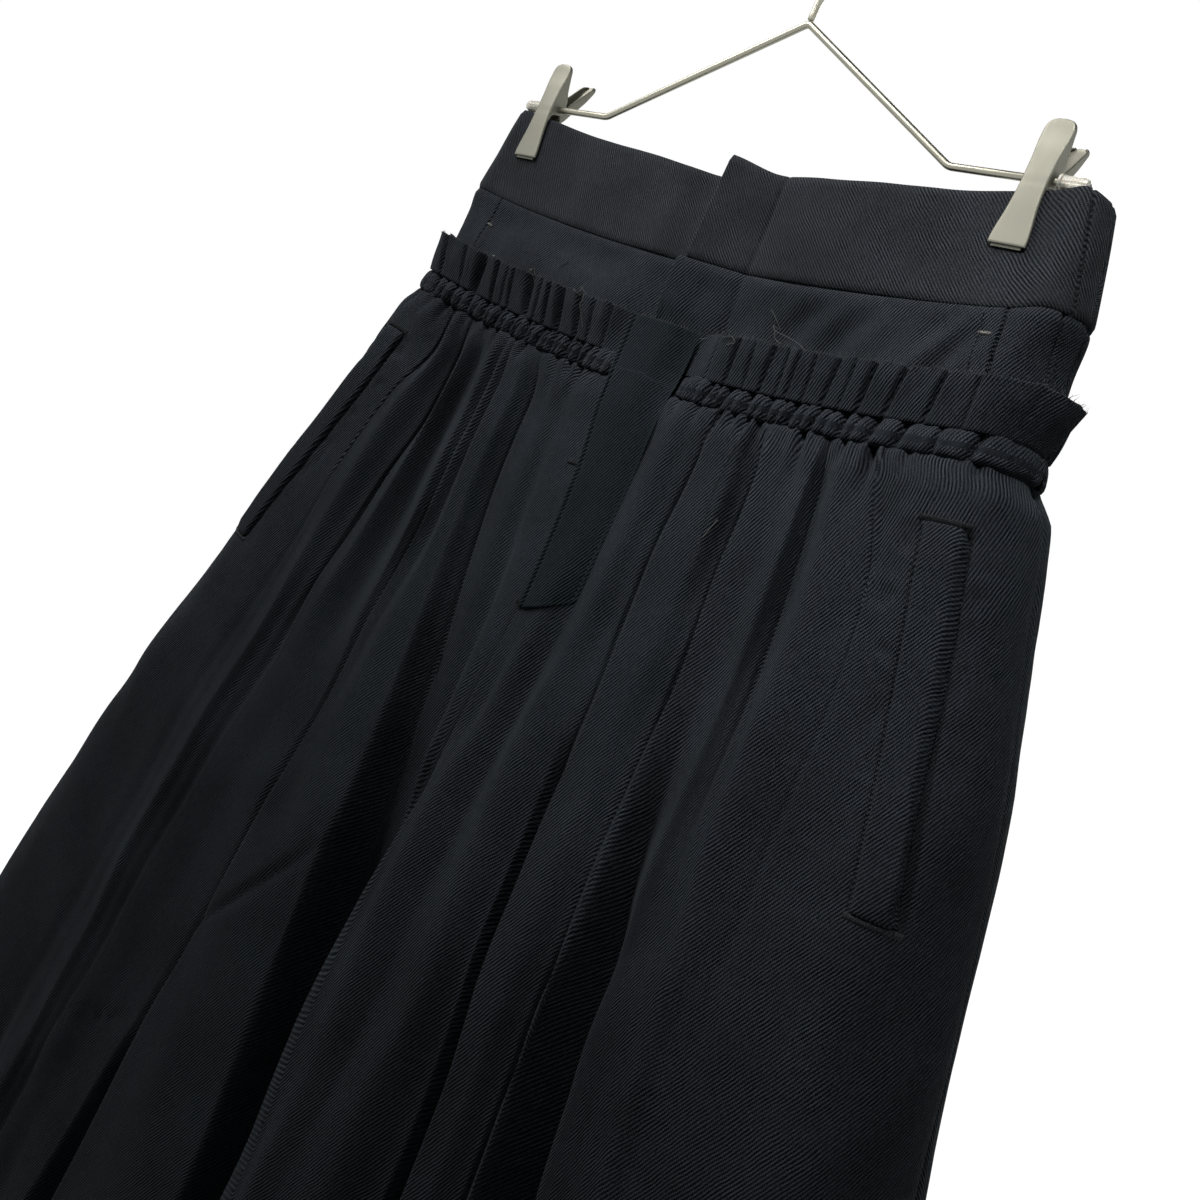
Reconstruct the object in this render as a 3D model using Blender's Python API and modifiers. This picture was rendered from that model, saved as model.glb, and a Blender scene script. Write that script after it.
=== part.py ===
"""Gathered harem trousers, held by the waistband on a wire clip hanger.

Metres, +Z up. The front of the trousers faces -Y, and +X is to the right as seen from the front.
The origin is the inner top of the hanger's hook, so every height is a drop below the rail.

The cloth is worked out from three things: the silhouette (half width, middle and half depth of the
section at each level), the fold lines (their distance from the centre line and their depth at each
level), and the seam levels. Every piece that lies on another one reads the same functions.
"""

import math

import bmesh
import bpy
from mathutils import Vector
from mathutils.bvhtree import BVHTree

MM = 0.001

# ---------------------------------------------------------------- driving sizes, millimetres

# Levels of the seams at the side of the body
BAND_TOP = -118.0
BAND_BOTTOM = -170.0
FRILL_TOP = -204.0
CASING_TOP = -226.0
CASING_BOTTOM = -240.0

# Cloth
GAP = 0.3
LAID_GAP = 0.8
SAG = 17.0
BAND_THICK = 1.8
YOKE_THICK = 1.8
FRILL_THICK = 1.2
PANEL_THICK = 1.6
WELT_THICK = 1.4
PLACKET_THICK = 2.0
CASING_THICK = 4.6
SEAM_STRIP = 3.0

# Front opening: distances from the centre line
BAND_LAP = 5.0
UNDER_LAP = 30.0
LAP_LIFT = 5.0
UNDER_DROP = 3.0
PLACKET_LEFT_TOP = -16.0
PLACKET_LEFT_LOW = 4.0
PLACKET_RIGHT_TOP = 26.0
PLACKET_RIGHT_LOW = 36.0
PLACKET_LOW = -367.0
PLACKET_ROUND = 19.0

# Pocket welts: inner edge's distance from the centre line, top and bottom, and the welt's width
WELT_TOP = -267.0
WELT_LOW = -422.0
WELT_INNER_TOP = 182.0
WELT_INNER_LOW = 230.0
WELT_WIDTH = 17.0

# Hanger
WIRE_RADIUS = 1.8
WIRE_APEX = -55.0
WIRE_BAR = -115.5
WIRE_BEND_X = 111.0
WIRE_END_X = 165.2
HOOK_INNER = 17.0
CLIP_X = 157.0
CLIP_LOW = -148.0
PLATE_THICK = 0.9
LINER_THICK = 0.7
LINER_HALF = 7.0
ROLLER_LENGTH = 13.5
SPRING_WIRE = 0.5
SPRING_LENGTH = 7.4
SPRING_TURNS = 4

# The clip's two plates are channels. Each row: height, half width, inner face (y) and the
# forward or backward depth of the flanges on both edges.
FRONT_PLATE = (
    # height, half width, inner face, flange depth
    (-90.2, 2.6, -3.7, 0.4),
    (-91.2, 4.8, -3.9, 0.6),
    (-93.4, 6.3, -4.1, 1.0),
    (-97.0, 7.0, -4.4, 2.0),
    (-104.0, 6.9, -5.0, 4.6),
    (-110.5, 6.7, -5.4, 8.6),
    (-118.2, 6.5, -5.7, 9.0),
    (-120.6, 6.5, -5.8, 1.0),
    (-127.0, 6.7, -5.8, 0.8),
    (-134.0, 7.5, -5.7, 0.6),
    (-142.0, 8.4, -5.6, 0.5),
    (-148.0, 8.8, -5.6, 0.4),
)
REAR_PLATE = (
    # height, half width, inner face, flange depth
    (-89.6, 2.4, 22.0, 0.8),
    (-91.0, 4.4, 21.5, 1.6),
    (-94.0, 5.3, 20.2, 2.4),
    (-102.0, 5.3, 16.6, 5.4),
    (-109.0, 5.3, 13.4, 8.8),
    (-116.0, 5.3, 10.2, 6.8),
    (-121.0, 5.3, 7.9, 3.6),
    (-127.0, 5.3, 5.1, 1.6),
    (-136.0, 5.6, 1.2, 0.4),
    (-147.0, 6.6, 1.0, 0.3),
)
GRIP_Y = -2.0
GRIP_HALF = 2.2
GRIP_FLAT = 10.5
GRIP_INNER_REACH = 32.0
GRIP_OUTER_REACH = 13.0
GRIP_FADE = 42.0

# Section of the body at each level: half width, middle (y) and half depth
SILHOUETTE = (
    # level, half width, middle, half depth
    (-118.0, 185.0, 9.0, 13.0),
    (-170.0, 197.0, 12.0, 18.0),
    (-205.0, 201.5, 15.0, 22.0),
    (-226.0, 201.5, 15.0, 24.0),
    (-240.0, 204.5, 15.0, 27.0),
    (-254.0, 217.0, 15.0, 30.0),
    (-300.0, 232.0, 14.0, 32.0),
    (-381.0, 258.0, 10.0, 36.0),
    (-463.0, 278.0, 5.0, 42.0),
    (-532.0, 293.0, 0.0, 48.0),
    (-615.0, 318.0, 0.0, 50.0),
    (-740.0, 345.0, 0.0, 57.0),
    (-875.0, 363.0, 0.0, 60.0),
    (-975.0, 360.0, 0.0, 60.0),
    (-1100.0, 338.0, 0.0, 58.0),
)

# Fold lines. Each row: name, steps to the next line, then at every level in FOLD_LEVELS the
# distance from the centre line and the depth (in is positive, out is negative).
FOLD_LEVELS = (-255.0, -325.0, -415.0, -505.0, -595.0, -745.0, -1100.0)

# Seam down the middle and, from the crotch on, inside each leg. At every level in FOLD_LEVELS:
# distance from the middle plane, depth, and the turn of the cloth beside it in degrees.
SEAM_RIGHT_X = (0, 0, 0, -3, -8, 3, 4)
SEAM_LEFT_X = (0, 0, 0, 3, 8, 7, 6)
SEAM_DEPTH = (0, 0, 0, 12, 48, 64, 64)
FRONT_TURN_RIGHT = (0, 0, 0, 40, 87, 90, 90)
FRONT_TURN_LEFT = (0, 0, 0, -30, 87, 90, 90)
BACK_TURN = (0, 0, 0, 12, 87, 90, 90)

# Distances of the waist's sections from the centre line; the last ones lie beside the clip's jaws
WAIST_STOPS = (8, 22, 36, 50, 64, 78, 92, 106, 120, 133, 146.5, 157, 167.5)

FRONT_RIGHT_FOLDS = (
    ("leg_edge", 1, (8, 8, 8, 5, 3, 14, 22), (0, 0, 0, 0, 0, 0, 0)),
    ("centre_crest", 1, (34, 36, 40, 44, 50, 58, 66), (-2, -2, -3, -4, -5, -5, -5)),
    ("valley_b", 2, (48, 53, 63, 76, 86, 92, 98), (3, 5, 10, 24, 30, 34, 34)),
    ("crest_b", 2, (58, 63, 75, 91, 102, 110, 116), (-2, -2, -2, -2, -3, -3, -3)),
    ("crease_c", 1, (80, 97, 112, 124, 131, 142, 152), (10, 9, 5, 4, 4, 5, 5)),
    ("crest_c", 1, (90, 105, 117, 130, 138, 150, 163), (-1, 0, 1, 0, 0, 0, 0)),
    ("valley_d", 2, (100, 113, 124, 140, 152, 168, 184), (1, 3, 12, 30, 36, 40, 40)),
    ("crest_d", 1, (110, 121, 134, 154, 170, 187, 204), (-3, -3, -3, -3, -3, -3, -3)),
    ("valley_e", 1, (124, 134, 146, 172, 195, 218, 240), (14, 12, 6, 1, 0, 2, 5)),
    ("crest_e", 1, (136, 152, 170, 194, 216, 240, 260), (-2, -2, -2, -1, -1, -2, -3)),
    ("valley_f", 1, (149, 178, 200, 220, 240, 262, 280), (8, 3, 1, 1, 2, 8, 12)),
    ("crest_f", 2, (164, 196, 222, 245, 264, 285, 298), (-1, -1, -1, -1, -1, -2, -2)),
)

FRONT_LEFT_FOLDS = (
    ("leg_wall", 1, (40, 28, 26, 14, 15, 12, 12), (0, 1, 6, 26, 46, 44, 44)),
    ("valley_a", 2, (80, 57, 52, 32, 26, 14, 16), (16, 16, 24, 38, 32, 22, 22)),
    ("crest_a", 1, (89, 79, 78, 64, 54, 48, 60), (-2, -2, -2, -2, -2, -2, -2)),
    ("crease_g", 2, (96, 92, 98, 96, 110, 127, 150), (6, 6, 6, 8, 16, 24, 26)),
    ("crest_g", 1, (106, 106, 108, 110, 127, 150, 175), (-1, -1, -1, -1, -1, -1, -1)),
    ("valley_h", 1, (122, 121, 118, 124, 146, 176, 205), (8, 8, 8, 9, 8, 8, 10)),
    ("crest_h", 1, (137, 134, 138, 160, 178, 200, 228), (-2, -2, -2, -2, -2, -2, -2)),
    ("valley_i", 1, (154, 149, 162, 190, 208, 232, 254), (9, 8, 5, 3, 4, 8, 12)),
    ("crest_i", 2, (170, 182, 204, 232, 252, 272, 285), (-1, -1, -1, -1, -1, -1, -1)),
)

BACK_FOLDS = (
    ("leg_edge", 1, (8, 9, 10, 12, 14, 18, 22), (0, 0, 0, 0, 0, 0, 0)),
    ("crest_k", 1, (32, 36, 40, 46, 50, 56, 62), (-2, -2, -3, -4, -4, -4, -4)),
    ("valley_k", 2, (52, 58, 66, 74, 82, 90, 96), (9, 10, 13, 20, 26, 28, 28)),
    ("crest_l", 1, (68, 78, 88, 100, 110, 122, 130), (-2, -2, -3, -3, -3, -3, -3)),
    ("valley_l", 1, (84, 98, 112, 128, 142, 156, 166), (10, 9, 8, 10, 13, 16, 18)),
    ("crest_m", 1, (98, 114, 132, 152, 168, 184, 196), (-2, -2, -2, -2, -2, -2, -2)),
    ("valley_m", 2, (116, 136, 156, 180, 200, 218, 230), (12, 12, 14, 18, 24, 30, 30)),
    ("crest_n", 1, (134, 156, 178, 204, 224, 244, 256), (-3, -3, -3, -3, -3, -3, -3)),
    ("valley_n", 1, (152, 178, 202, 230, 248, 268, 278), (7, 6, 4, 4, 6, 8, 9)),
    ("crest_o", 2, (168, 196, 224, 250, 268, 286, 296), (-1, -1, -1, -1, -1, -1, -1)),
)

WELT_LEVELS = (WELT_TOP, -278.0, -290.0, -308.0, -326.0, -345.0, -368.0, -391.0, -415.0, WELT_LOW)
GUIDE_LEVELS = (-198.0, -226.0)
PANEL_LEVELS = (
    -240.3, -255.0, -290.0, -345.0, -415.0, -505.0, -552.0, -595.0, -625.0, -700.0, -810.0, -950.0,
    -1100.0,
)

# Puckers of the casing: distance of each pinch from the centre line, and how deep it bites
PUCKERS_RIGHT = (
    # distance, bite
    (33, 0.2), (47, 0.5), (58, 0.7), (72, 0.9), (84, 0.8), (97, 1.0), (110, 0.8),
    (124, 1.0), (139, 0.9), (153, 1.0), (170, 0.7), (186, 0.9), (212, 0.2),
)
PUCKERS_LEFT = (
    # distance, bite
    (31, 0.3), (44, 0.8), (54, 0.9), (66, 1.0), (77, 0.9), (88, 1.0), (101, 0.9),
    (114, 0.8), (127, 1.0), (142, 0.8), (158, 0.9), (176, 0.7), (195, 0.6), (213, 0.3),
)
PUCKER_STEP_BACK = 16.5

CLOTH = (0.030, 0.034, 0.037, 1.0)
BAND_CLOTH = (0.026, 0.029, 0.031, 1.0)
NICKEL = (0.62, 0.59, 0.53, 1.0)
ROLLER = (0.72, 0.70, 0.62, 1.0)


# ---------------------------------------------------------------- curves through tables


def smooth(levels, values, level):
    """Monotone cubic through the values of a table at falling levels."""
    if level >= levels[0]:
        return float(values[0])
    if level <= levels[-1]:
        return float(values[-1])
    spans = [levels[i + 1] - levels[i] for i in range(len(levels) - 1)]
    rates = [(values[i + 1] - values[i]) / spans[i] for i in range(len(spans))]
    slopes = [rates[0]]
    for before, after in zip(rates, rates[1:]):
        slopes.append(0.0 if before * after <= 0.0 else 2.0 * before * after / (before + after))
    slopes.append(rates[-1])
    for i, span in enumerate(spans):
        if level >= levels[i + 1]:
            t = (level - levels[i]) / span
            return (
                values[i] * (1 + 2 * t) * (1 - t) ** 2
                + slopes[i] * span * t * (1 - t) ** 2
                + values[i + 1] * t * t * (3 - 2 * t)
                + slopes[i + 1] * span * t * t * (t - 1)
            )
    return float(values[-1])


def silhouette(level):
    """Half width, middle and half depth of the section at a level."""
    levels = [row[0] for row in SILHOUETTE]
    return tuple(smooth(levels, [row[k] for row in SILHOUETTE], level) for k in (1, 2, 3))


def ease(t):
    """Half a cosine wave from 0 to 1."""
    t = min(1.0, max(0.0, t))
    return 0.5 - 0.5 * math.cos(math.pi * t)


# ---------------------------------------------------------------- the body's section


def girth_point(distance, recess, level, front):
    """Point of the section at a distance from the centre line along the cloth, moved in by recess."""
    width, middle, depth = silhouette(level)
    reach = depth - recess
    straight = width - depth
    if distance <= straight:
        x = distance
        y = -reach
    else:
        angle = min(math.pi / 2, (distance - straight) / depth)
        x = straight + reach * math.sin(angle)
        y = -reach * math.cos(angle)
    return x, middle + (y if front else -y)


def half_girth(level):
    """Length of the section from the centre line to the side seam."""
    width, _, depth = silhouette(level)
    return width - depth + depth * math.pi / 2


def gripped(x, y, level):
    """Draw front and back together between the clips' jaws."""
    beyond = abs(x) - CLIP_X
    reach = GRIP_OUTER_REACH if beyond > 0 else GRIP_INNER_REACH
    across = ease(1 - (abs(beyond) - GRIP_FLAT) / reach)
    pull = across * ease(1 - (CLIP_LOW - level) / GRIP_FADE)
    _, middle, depth = silhouette(level)
    return y + (GRIP_Y + GRIP_HALF * (y - middle) / depth - y) * pull


def hung(x, level):
    """Height of a level at x: the cloth sags between its two clips."""
    width, _, _ = silhouette(level)
    return level - SAG * max(0.0, 1 - (x / width) ** 2)


def at_level(x, y, level, side):
    """Point of the cloth in metres, on the right (side 1) or left (side -1)."""
    return (side * x * MM, gripped(x, y, level) * MM, hung(x, level) * MM)


# ---------------------------------------------------------------- leg panels


def fold_columns(seam_x, seam_turn, folds, level, front):
    """Points across a half panel at a level, from the centre seam to the side seam."""
    width, middle, depth = silhouette(level)
    sign = -1.0 if front else 1.0
    start = smooth(FOLD_LEVELS, seam_x, level)
    recess = min(smooth(FOLD_LEVELS, SEAM_DEPTH, level), depth - GAP / 2)
    turn = math.radians(smooth(FOLD_LEVELS, seam_turn, level))
    origin = (start + GAP / 2, middle + sign * (depth - recess))
    points = [origin]
    points.append((origin[0] + SEAM_STRIP * math.cos(turn), origin[1] + sign * SEAM_STRIP * math.sin(turn)))
    lines = [
        (smooth(FOLD_LEVELS, row[2], level), smooth(FOLD_LEVELS, row[3], level), row[1]) for row in folds
    ]
    side = half_girth(level)
    lines.append((side - SEAM_STRIP, 0.0, 1))
    for (here, deep, steps), (there, next_deep, _) in zip(lines, lines[1:]):
        for k in range(steps):
            t = k / steps
            points.append(
                girth_point(here + (there - here) * t, deep + (next_deep - deep) * ease(t), level, front)
            )
    points.append((width, middle + sign * SEAM_STRIP))
    points.append((width, middle + sign * GAP / 2))
    return points


def leg_panel(name, side, front, seam_turn, folds):
    """Half of the body and its leg, front or back, from the casing to the hem."""
    seam_x = SEAM_RIGHT_X if side > 0 else SEAM_LEFT_X
    rows = []
    for level in GUIDE_LEVELS + PANEL_LEVELS:
        columns = fold_columns(seam_x, seam_turn, folds, level, front)
        rows.append([at_level(x, y, level, side) for x, y in columns])
    cloth(name, rows[len(GUIDE_LEVELS):], PANEL_THICK, (side > 0) != front, CLOTH, True)
    return rows


def front_guide(right_rows, left_rows):
    """The whole front face as one surface, carried on above the panels, to lay pieces on."""
    seam_rows = [[left[0], right[0]] for left, right in zip(left_rows, right_rows)]
    vertices = []
    faces = []
    for rows in (right_rows, left_rows, seam_rows):
        faces += [tuple(k + len(vertices) for k in face) for face in grid_faces(rows, True)]
        vertices += [point for row in rows for point in row]
    return BVHTree.FromPolygons(vertices, faces)


def laid_on(guide, x, level, lift):
    """Point that lies a height of lift off the front face, out along the body's own roundness."""
    width, _, depth = silhouette(level)
    turned = math.asin(min(1.0, max(0.0, (abs(x) - width + depth) / depth)))
    out = Vector((math.copysign(math.sin(turned), x), -math.cos(turned), 0.0))
    start = Vector((x * MM, -1.0, hung(x, level) * MM))
    place, normal, _, _ = guide.ray_cast(start, Vector((0.0, 1.0, 0.0)))
    return tuple(place + out * lift * MM / abs(out.dot(normal)))


# ---------------------------------------------------------------- mesh making


def material(name, colour, roughness, metallic):
    made = bpy.data.materials.new(name)
    made.use_nodes = True
    shader = made.node_tree.nodes["Principled BSDF"]
    shader.inputs["Base Color"].default_value = colour
    shader.inputs["Roughness"].default_value = roughness
    shader.inputs["Metallic"].default_value = metallic
    made.diffuse_color = colour
    return made


def add_object(name, mesh, colour, roughness=0.9, metallic=0.0):
    mesh.materials.append(material(name, colour, roughness, metallic))
    made = bpy.data.objects.new(name, mesh)
    bpy.data.collections["harem_trousers"].objects.link(made)
    return made


def grid_faces(rows, split):
    """Faces between rows of points, each one split in two where another piece lies on them."""
    across = len(rows[0])
    faces = []
    for r in range(len(rows) - 1):
        for c in range(across - 1):
            a = r * across + c
            if split:
                faces += [(a, a + across, a + across + 1), (a, a + across + 1, a + 1)]
            else:
                faces.append((a, a + across, a + across + 1, a + 1))
    return faces


def grid_mesh(name, rows, flip, split):
    """Open surface through rows of points; flip turns its faces over."""
    vertices = [point for row in rows for point in row]
    faces = [face[::-1] if flip else face for face in grid_faces(rows, split)]
    mesh = bpy.data.meshes.new(name)
    mesh.from_pydata(vertices, [], faces)
    mesh.shade_smooth()
    return mesh


def cloth(name, rows, thickness, flip, colour=CLOTH, split=False):
    """A sheet whose outer face is the grid and whose thickness lies inside it."""
    made = add_object(name, grid_mesh(name, rows, flip, split), colour)
    wall = made.modifiers.new("wall", "SOLIDIFY")
    wall.thickness = thickness * MM
    wall.offset = -1.0
    wall.use_quality_normals = True
    return made


def closed_loft(name, rings, colour, roughness=0.9, metallic=0.0):
    """Closed solid through rings of points with flat ends, its faces turned out."""
    built = bmesh.new()
    made_rings = [[built.verts.new(point) for point in ring] for ring in rings]
    for one, other in zip(made_rings, made_rings[1:]):
        for k in range(len(one)):
            built.faces.new((one[k - 1], one[k], other[k], other[k - 1]))
    built.faces.new(made_rings[0])
    built.faces.new(made_rings[-1][::-1])
    bmesh.ops.recalc_face_normals(built, faces=built.faces)
    mesh = bpy.data.meshes.new(name)
    built.to_mesh(mesh)
    built.free()
    return add_object(name, mesh, colour, roughness, metallic)


# ---------------------------------------------------------------- cloth pieces


def spaced(start, end, count):
    return [start + (end - start) * k / (count - 1) for k in range(count)]


def waist_columns(level, start):
    """Distances of the sections of a waist piece, from start to the strip beside the side seam."""
    width, _, depth = silhouette(level)
    columns = [start] + [stop for stop in WAIST_STOPS if stop > start + 4]
    return columns + [width - depth + depth * math.pi / 2 * part for part in (0.12, 0.36, 0.6)]


def half_row(level, start, recess, side, front, lift=None):
    """Points of a waist piece at a level from start to the side seam."""
    width, middle, _ = silhouette(level)
    row = []
    for distance in waist_columns(level, start):
        x, y = girth_point(abs(distance), recess(distance, level), level, front)
        x = math.copysign(x, distance)
        raised = lift(distance, level) if lift else 0.0
        point = at_level(x, y, level, side)
        row.append((point[0], point[1], point[2] + raised * MM))
    edge = width - recess(half_girth(level), level)
    toward = -1 if front else 1
    row.append(at_level(edge, middle + toward * SEAM_STRIP, level, side))
    row.append(at_level(edge, middle + toward * GAP / 2, level, side))
    return row


def front_piece(name, side, start, levels, recess, thickness, colour, lift=None):
    """A front piece of the waist from near the centre line to the side seam."""
    rows = [half_row(level, start, recess, side, True, lift) for level in levels]
    return cloth(name, rows, thickness, side < 0, colour)


def back_piece(name, levels, recess, thickness, colour):
    """A back piece of the waist from side seam to side seam."""
    rows = []
    for level in levels:
        left = half_row(level, 0.0, recess, -1, False)
        right = half_row(level, 0.0, recess, 1, False)
        rows.append(left[::-1] + right[1:])
    return cloth(name, rows, thickness, True, colour)


def band_lift(side):
    """At the opening the lapping corner stands up a little and the corner under it hangs."""

    def lift(distance, level):
        share = (level - BAND_BOTTOM) / (BAND_TOP - BAND_BOTTOM)
        if side > 0:
            return LAP_LIFT * share * ease(1 - (distance + BAND_LAP) / 36)
        return -UNDER_DROP * share * ease(1 - (distance - 10) / 60)

    return lift


def under_lap(thickness):
    """Depth of the left half where it passes behind the right half."""
    return lambda distance, level: (thickness + 2 * GAP) * ease((34 - distance) / 22)


def flat(distance, level):
    return 0.0


def rippled(distance, level):
    """The yoke's cloth stands in low soft waves that start below the band's seam."""
    return ease((BAND_BOTTOM - 1 - level) / 16) * (0.6 - 0.6 * math.cos(distance / 10.0))


def make_waistband():
    levels = (BAND_TOP, -132.0, CLIP_LOW, BAND_BOTTOM + 1 + GAP, BAND_BOTTOM + GAP)
    under = under_lap(BAND_THICK)
    front_piece("waistband_front_right", 1, -BAND_LAP, levels, flat, BAND_THICK, BAND_CLOTH, band_lift(1))
    front_piece("waistband_front_left", -1, -UNDER_LAP, levels, under, BAND_THICK, BAND_CLOTH, band_lift(-1))
    back_piece("waistband_back", levels, flat, BAND_THICK, BAND_CLOTH)


def make_yoke():
    levels = (BAND_BOTTOM, BAND_BOTTOM - 1, -190.0, CASING_TOP + 1 + GAP, CASING_TOP + GAP)
    under = under_lap(YOKE_THICK)
    front_piece("yoke_front_right", 1, -BAND_LAP, levels, rippled, YOKE_THICK, CLOTH)
    front_piece(
        "yoke_front_left", -1, -UNDER_LAP, levels,
        lambda distance, level: under(distance, level) + rippled(distance, level), YOKE_THICK, CLOTH,
    )
    back_piece("yoke_back", levels, rippled, YOKE_THICK, CLOTH)


def frill_depth(distance, level):
    """The frill stands off the yoke in waves that grow towards its raw edge."""
    share = (level - CASING_TOP) / (FRILL_TOP - CASING_TOP)
    wave = 0.5 + 0.5 * math.sin(distance / 3.9 + 0.8 * math.sin(distance / 21.0))
    return -(FRILL_THICK + 1.5 + 2.6 * share * wave)


def frill_row(level, start, side, front):
    """Points along the frill, close enough together for its waves."""
    width, middle, _ = silhouette(level)
    row = []
    for distance in spaced(start, half_girth(level) - 2 * SEAM_STRIP, 26):
        x, y = girth_point(distance, frill_depth(distance, level), level, front)
        row.append(at_level(x, y, level, side))
    edge = width + FRILL_THICK + 2.0
    toward = -1 if front else 1
    row.append(at_level(edge, middle + toward * SEAM_STRIP, level, side))
    row.append(at_level(edge, middle + toward * GAP / 2, level, side))
    return row


def make_frill():
    levels = (FRILL_TOP, (FRILL_TOP + CASING_TOP) / 2, CASING_TOP + GAP)
    for name, side, start in (("right", 1, PLACKET_RIGHT_TOP + 2), ("left", -1, 18.0)):
        rows = [frill_row(level, start, side, True) for level in levels]
        cloth("frill_front_" + name, rows, FRILL_THICK, side < 0)
    rows = []
    for level in levels:
        rows.append(frill_row(level, 0.0, -1, False)[::-1] + frill_row(level, 0.0, 1, False)[1:])
    cloth("frill_back", rows, FRILL_THICK, True)


def casing_ring(distance, puff, side, front):
    """Six-sided section of the casing across its length; puff swells it out and down."""
    inner = 1.4
    outer = CASING_THICK - 1.4
    top = CASING_TOP
    low = CASING_BOTTOM
    height = top - low
    profile = (
        # outset, level
        (-inner, top - 1.2),
        (outer * 0.55 + puff * 0.6, top - 0.2),
        (outer * 0.8 + puff * 1.6, top - height * 0.3),
        (outer * 0.8 + puff * 1.6, top - height * 0.7),
        (outer * 0.55 + puff * 0.6, low + 0.2),
        (-inner, low + 1.2),
    )
    ring = []
    for outset, level in profile:
        end = half_girth(level)
        x, y = girth_point(min(distance, end), -outset, level, front)
        if distance >= end - 1e-6:
            _, middle, _ = silhouette(level)
            y = middle + (-GAP / 2 if front else GAP / 2)
        ring.append(at_level(x, y, level, side))
    return ring


def pucker_distances(puckers, end):
    """Two sections for each puff: the pinch and the swell between two pinches."""
    stops = []
    for (here, bite), (there, _) in zip(puckers, puckers[1:]):
        stops.append((here, -bite))
        stops.append(((here + there) / 2, 0.6))
    stops.append((puckers[-1][0], 0.0))
    return [(distance, puff) for distance, puff in stops if distance < end - SEAM_STRIP] + [(end, 0.0)]


def make_casing():
    end = half_girth(CASING_BOTTOM) + 5.0
    for name, side, start, puckers in (
        ("casing_front_right", 1, PLACKET_RIGHT_TOP + 4, PUCKERS_RIGHT),
        ("casing_front_left", -1, 17.0, PUCKERS_LEFT),
    ):
        stops = [(start, 0.0)] + pucker_distances(puckers, end)
        closed_loft(name, [casing_ring(d, puff, side, True) for d, puff in stops], CLOTH)
    count = int(end // PUCKER_STEP_BACK)
    back = [(PUCKER_STEP_BACK * (k + 0.5), 0.7 + 0.3 * math.sin(2.1 * k)) for k in range(count)]
    half = [(d, puff) for d, puff in pucker_distances(back, end)]
    rings = [casing_ring(d, puff, -1, False) for d, puff in half[::-1]]
    rings += [casing_ring(d, puff, 1, False) for d, puff in half]
    closed_loft("casing_back", rings, CLOTH)


def make_legs():
    """The four leg panels; gives back the front face that the placket and the welts lie on."""
    right_rows = leg_panel("leg_front_right", 1, True, FRONT_TURN_RIGHT, FRONT_RIGHT_FOLDS)
    left_rows = leg_panel("leg_front_left", -1, True, FRONT_TURN_LEFT, FRONT_LEFT_FOLDS)
    leg_panel("leg_back_right", 1, False, BACK_TURN, BACK_FOLDS)
    leg_panel("leg_back_left", -1, False, BACK_TURN, BACK_FOLDS)
    return front_guide(right_rows, left_rows)


def make_placket(guide):
    """A flat strip over the opening, from the frill's raw edge down to its rounded end."""
    top = FRILL_TOP - 1.0
    rows = []
    for share in (0.0, 0.12, 0.22, 0.31, 0.45, 0.6, 0.75, 0.88, 1.0):
        left = PLACKET_LEFT_TOP + (PLACKET_LEFT_LOW - PLACKET_LEFT_TOP) * share
        right = PLACKET_RIGHT_TOP + (PLACKET_RIGHT_LOW - PLACKET_RIGHT_TOP) * share
        row = []
        for across in (0.0, 0.2, 0.4, 0.6, 0.8, 0.93, 1.0):
            x = left + (right - left) * across
            level = top + (PLACKET_LOW + PLACKET_ROUND * across ** 3 - top) * share
            row.append(laid_on(guide, x, level, PLACKET_THICK + LAID_GAP))
        rows.append(row)
    cloth("fly_placket", rows, PLACKET_THICK, False)


def make_welt(name, side, guide):
    """A slanted strip that lies on the front panel beside the side seam."""
    rows = []
    for level in WELT_LEVELS:
        share = (level - WELT_TOP) / (WELT_LOW - WELT_TOP)
        inner = WELT_INNER_TOP + (WELT_INNER_LOW - WELT_INNER_TOP) * share
        row = []
        for x in spaced(inner, inner + WELT_WIDTH, 6):
            row.append(laid_on(guide, side * x, level, WELT_THICK + LAID_GAP))
        rows.append(row)
    cloth(name, rows, WELT_THICK, side < 0)


# ---------------------------------------------------------------- hanger


def wire(name, route, radius, colour=NICKEL):
    """Round wire along a route of points."""
    curve = bpy.data.curves.new(name, "CURVE")
    curve.dimensions = "3D"
    curve.bevel_depth = radius * MM
    curve.bevel_resolution = 3
    curve.use_fill_caps = True
    spline = curve.splines.new("POLY")
    spline.points.add(len(route) - 1)
    for point, (x, y, z) in zip(spline.points, route):
        point.co = (x * MM, y * MM, z * MM, 1.0)
    curve.materials.append(material(name, colour, 0.35, 1.0))
    made = bpy.data.objects.new(name, curve)
    bpy.data.collections["harem_trousers"].objects.link(made)
    return made


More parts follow.
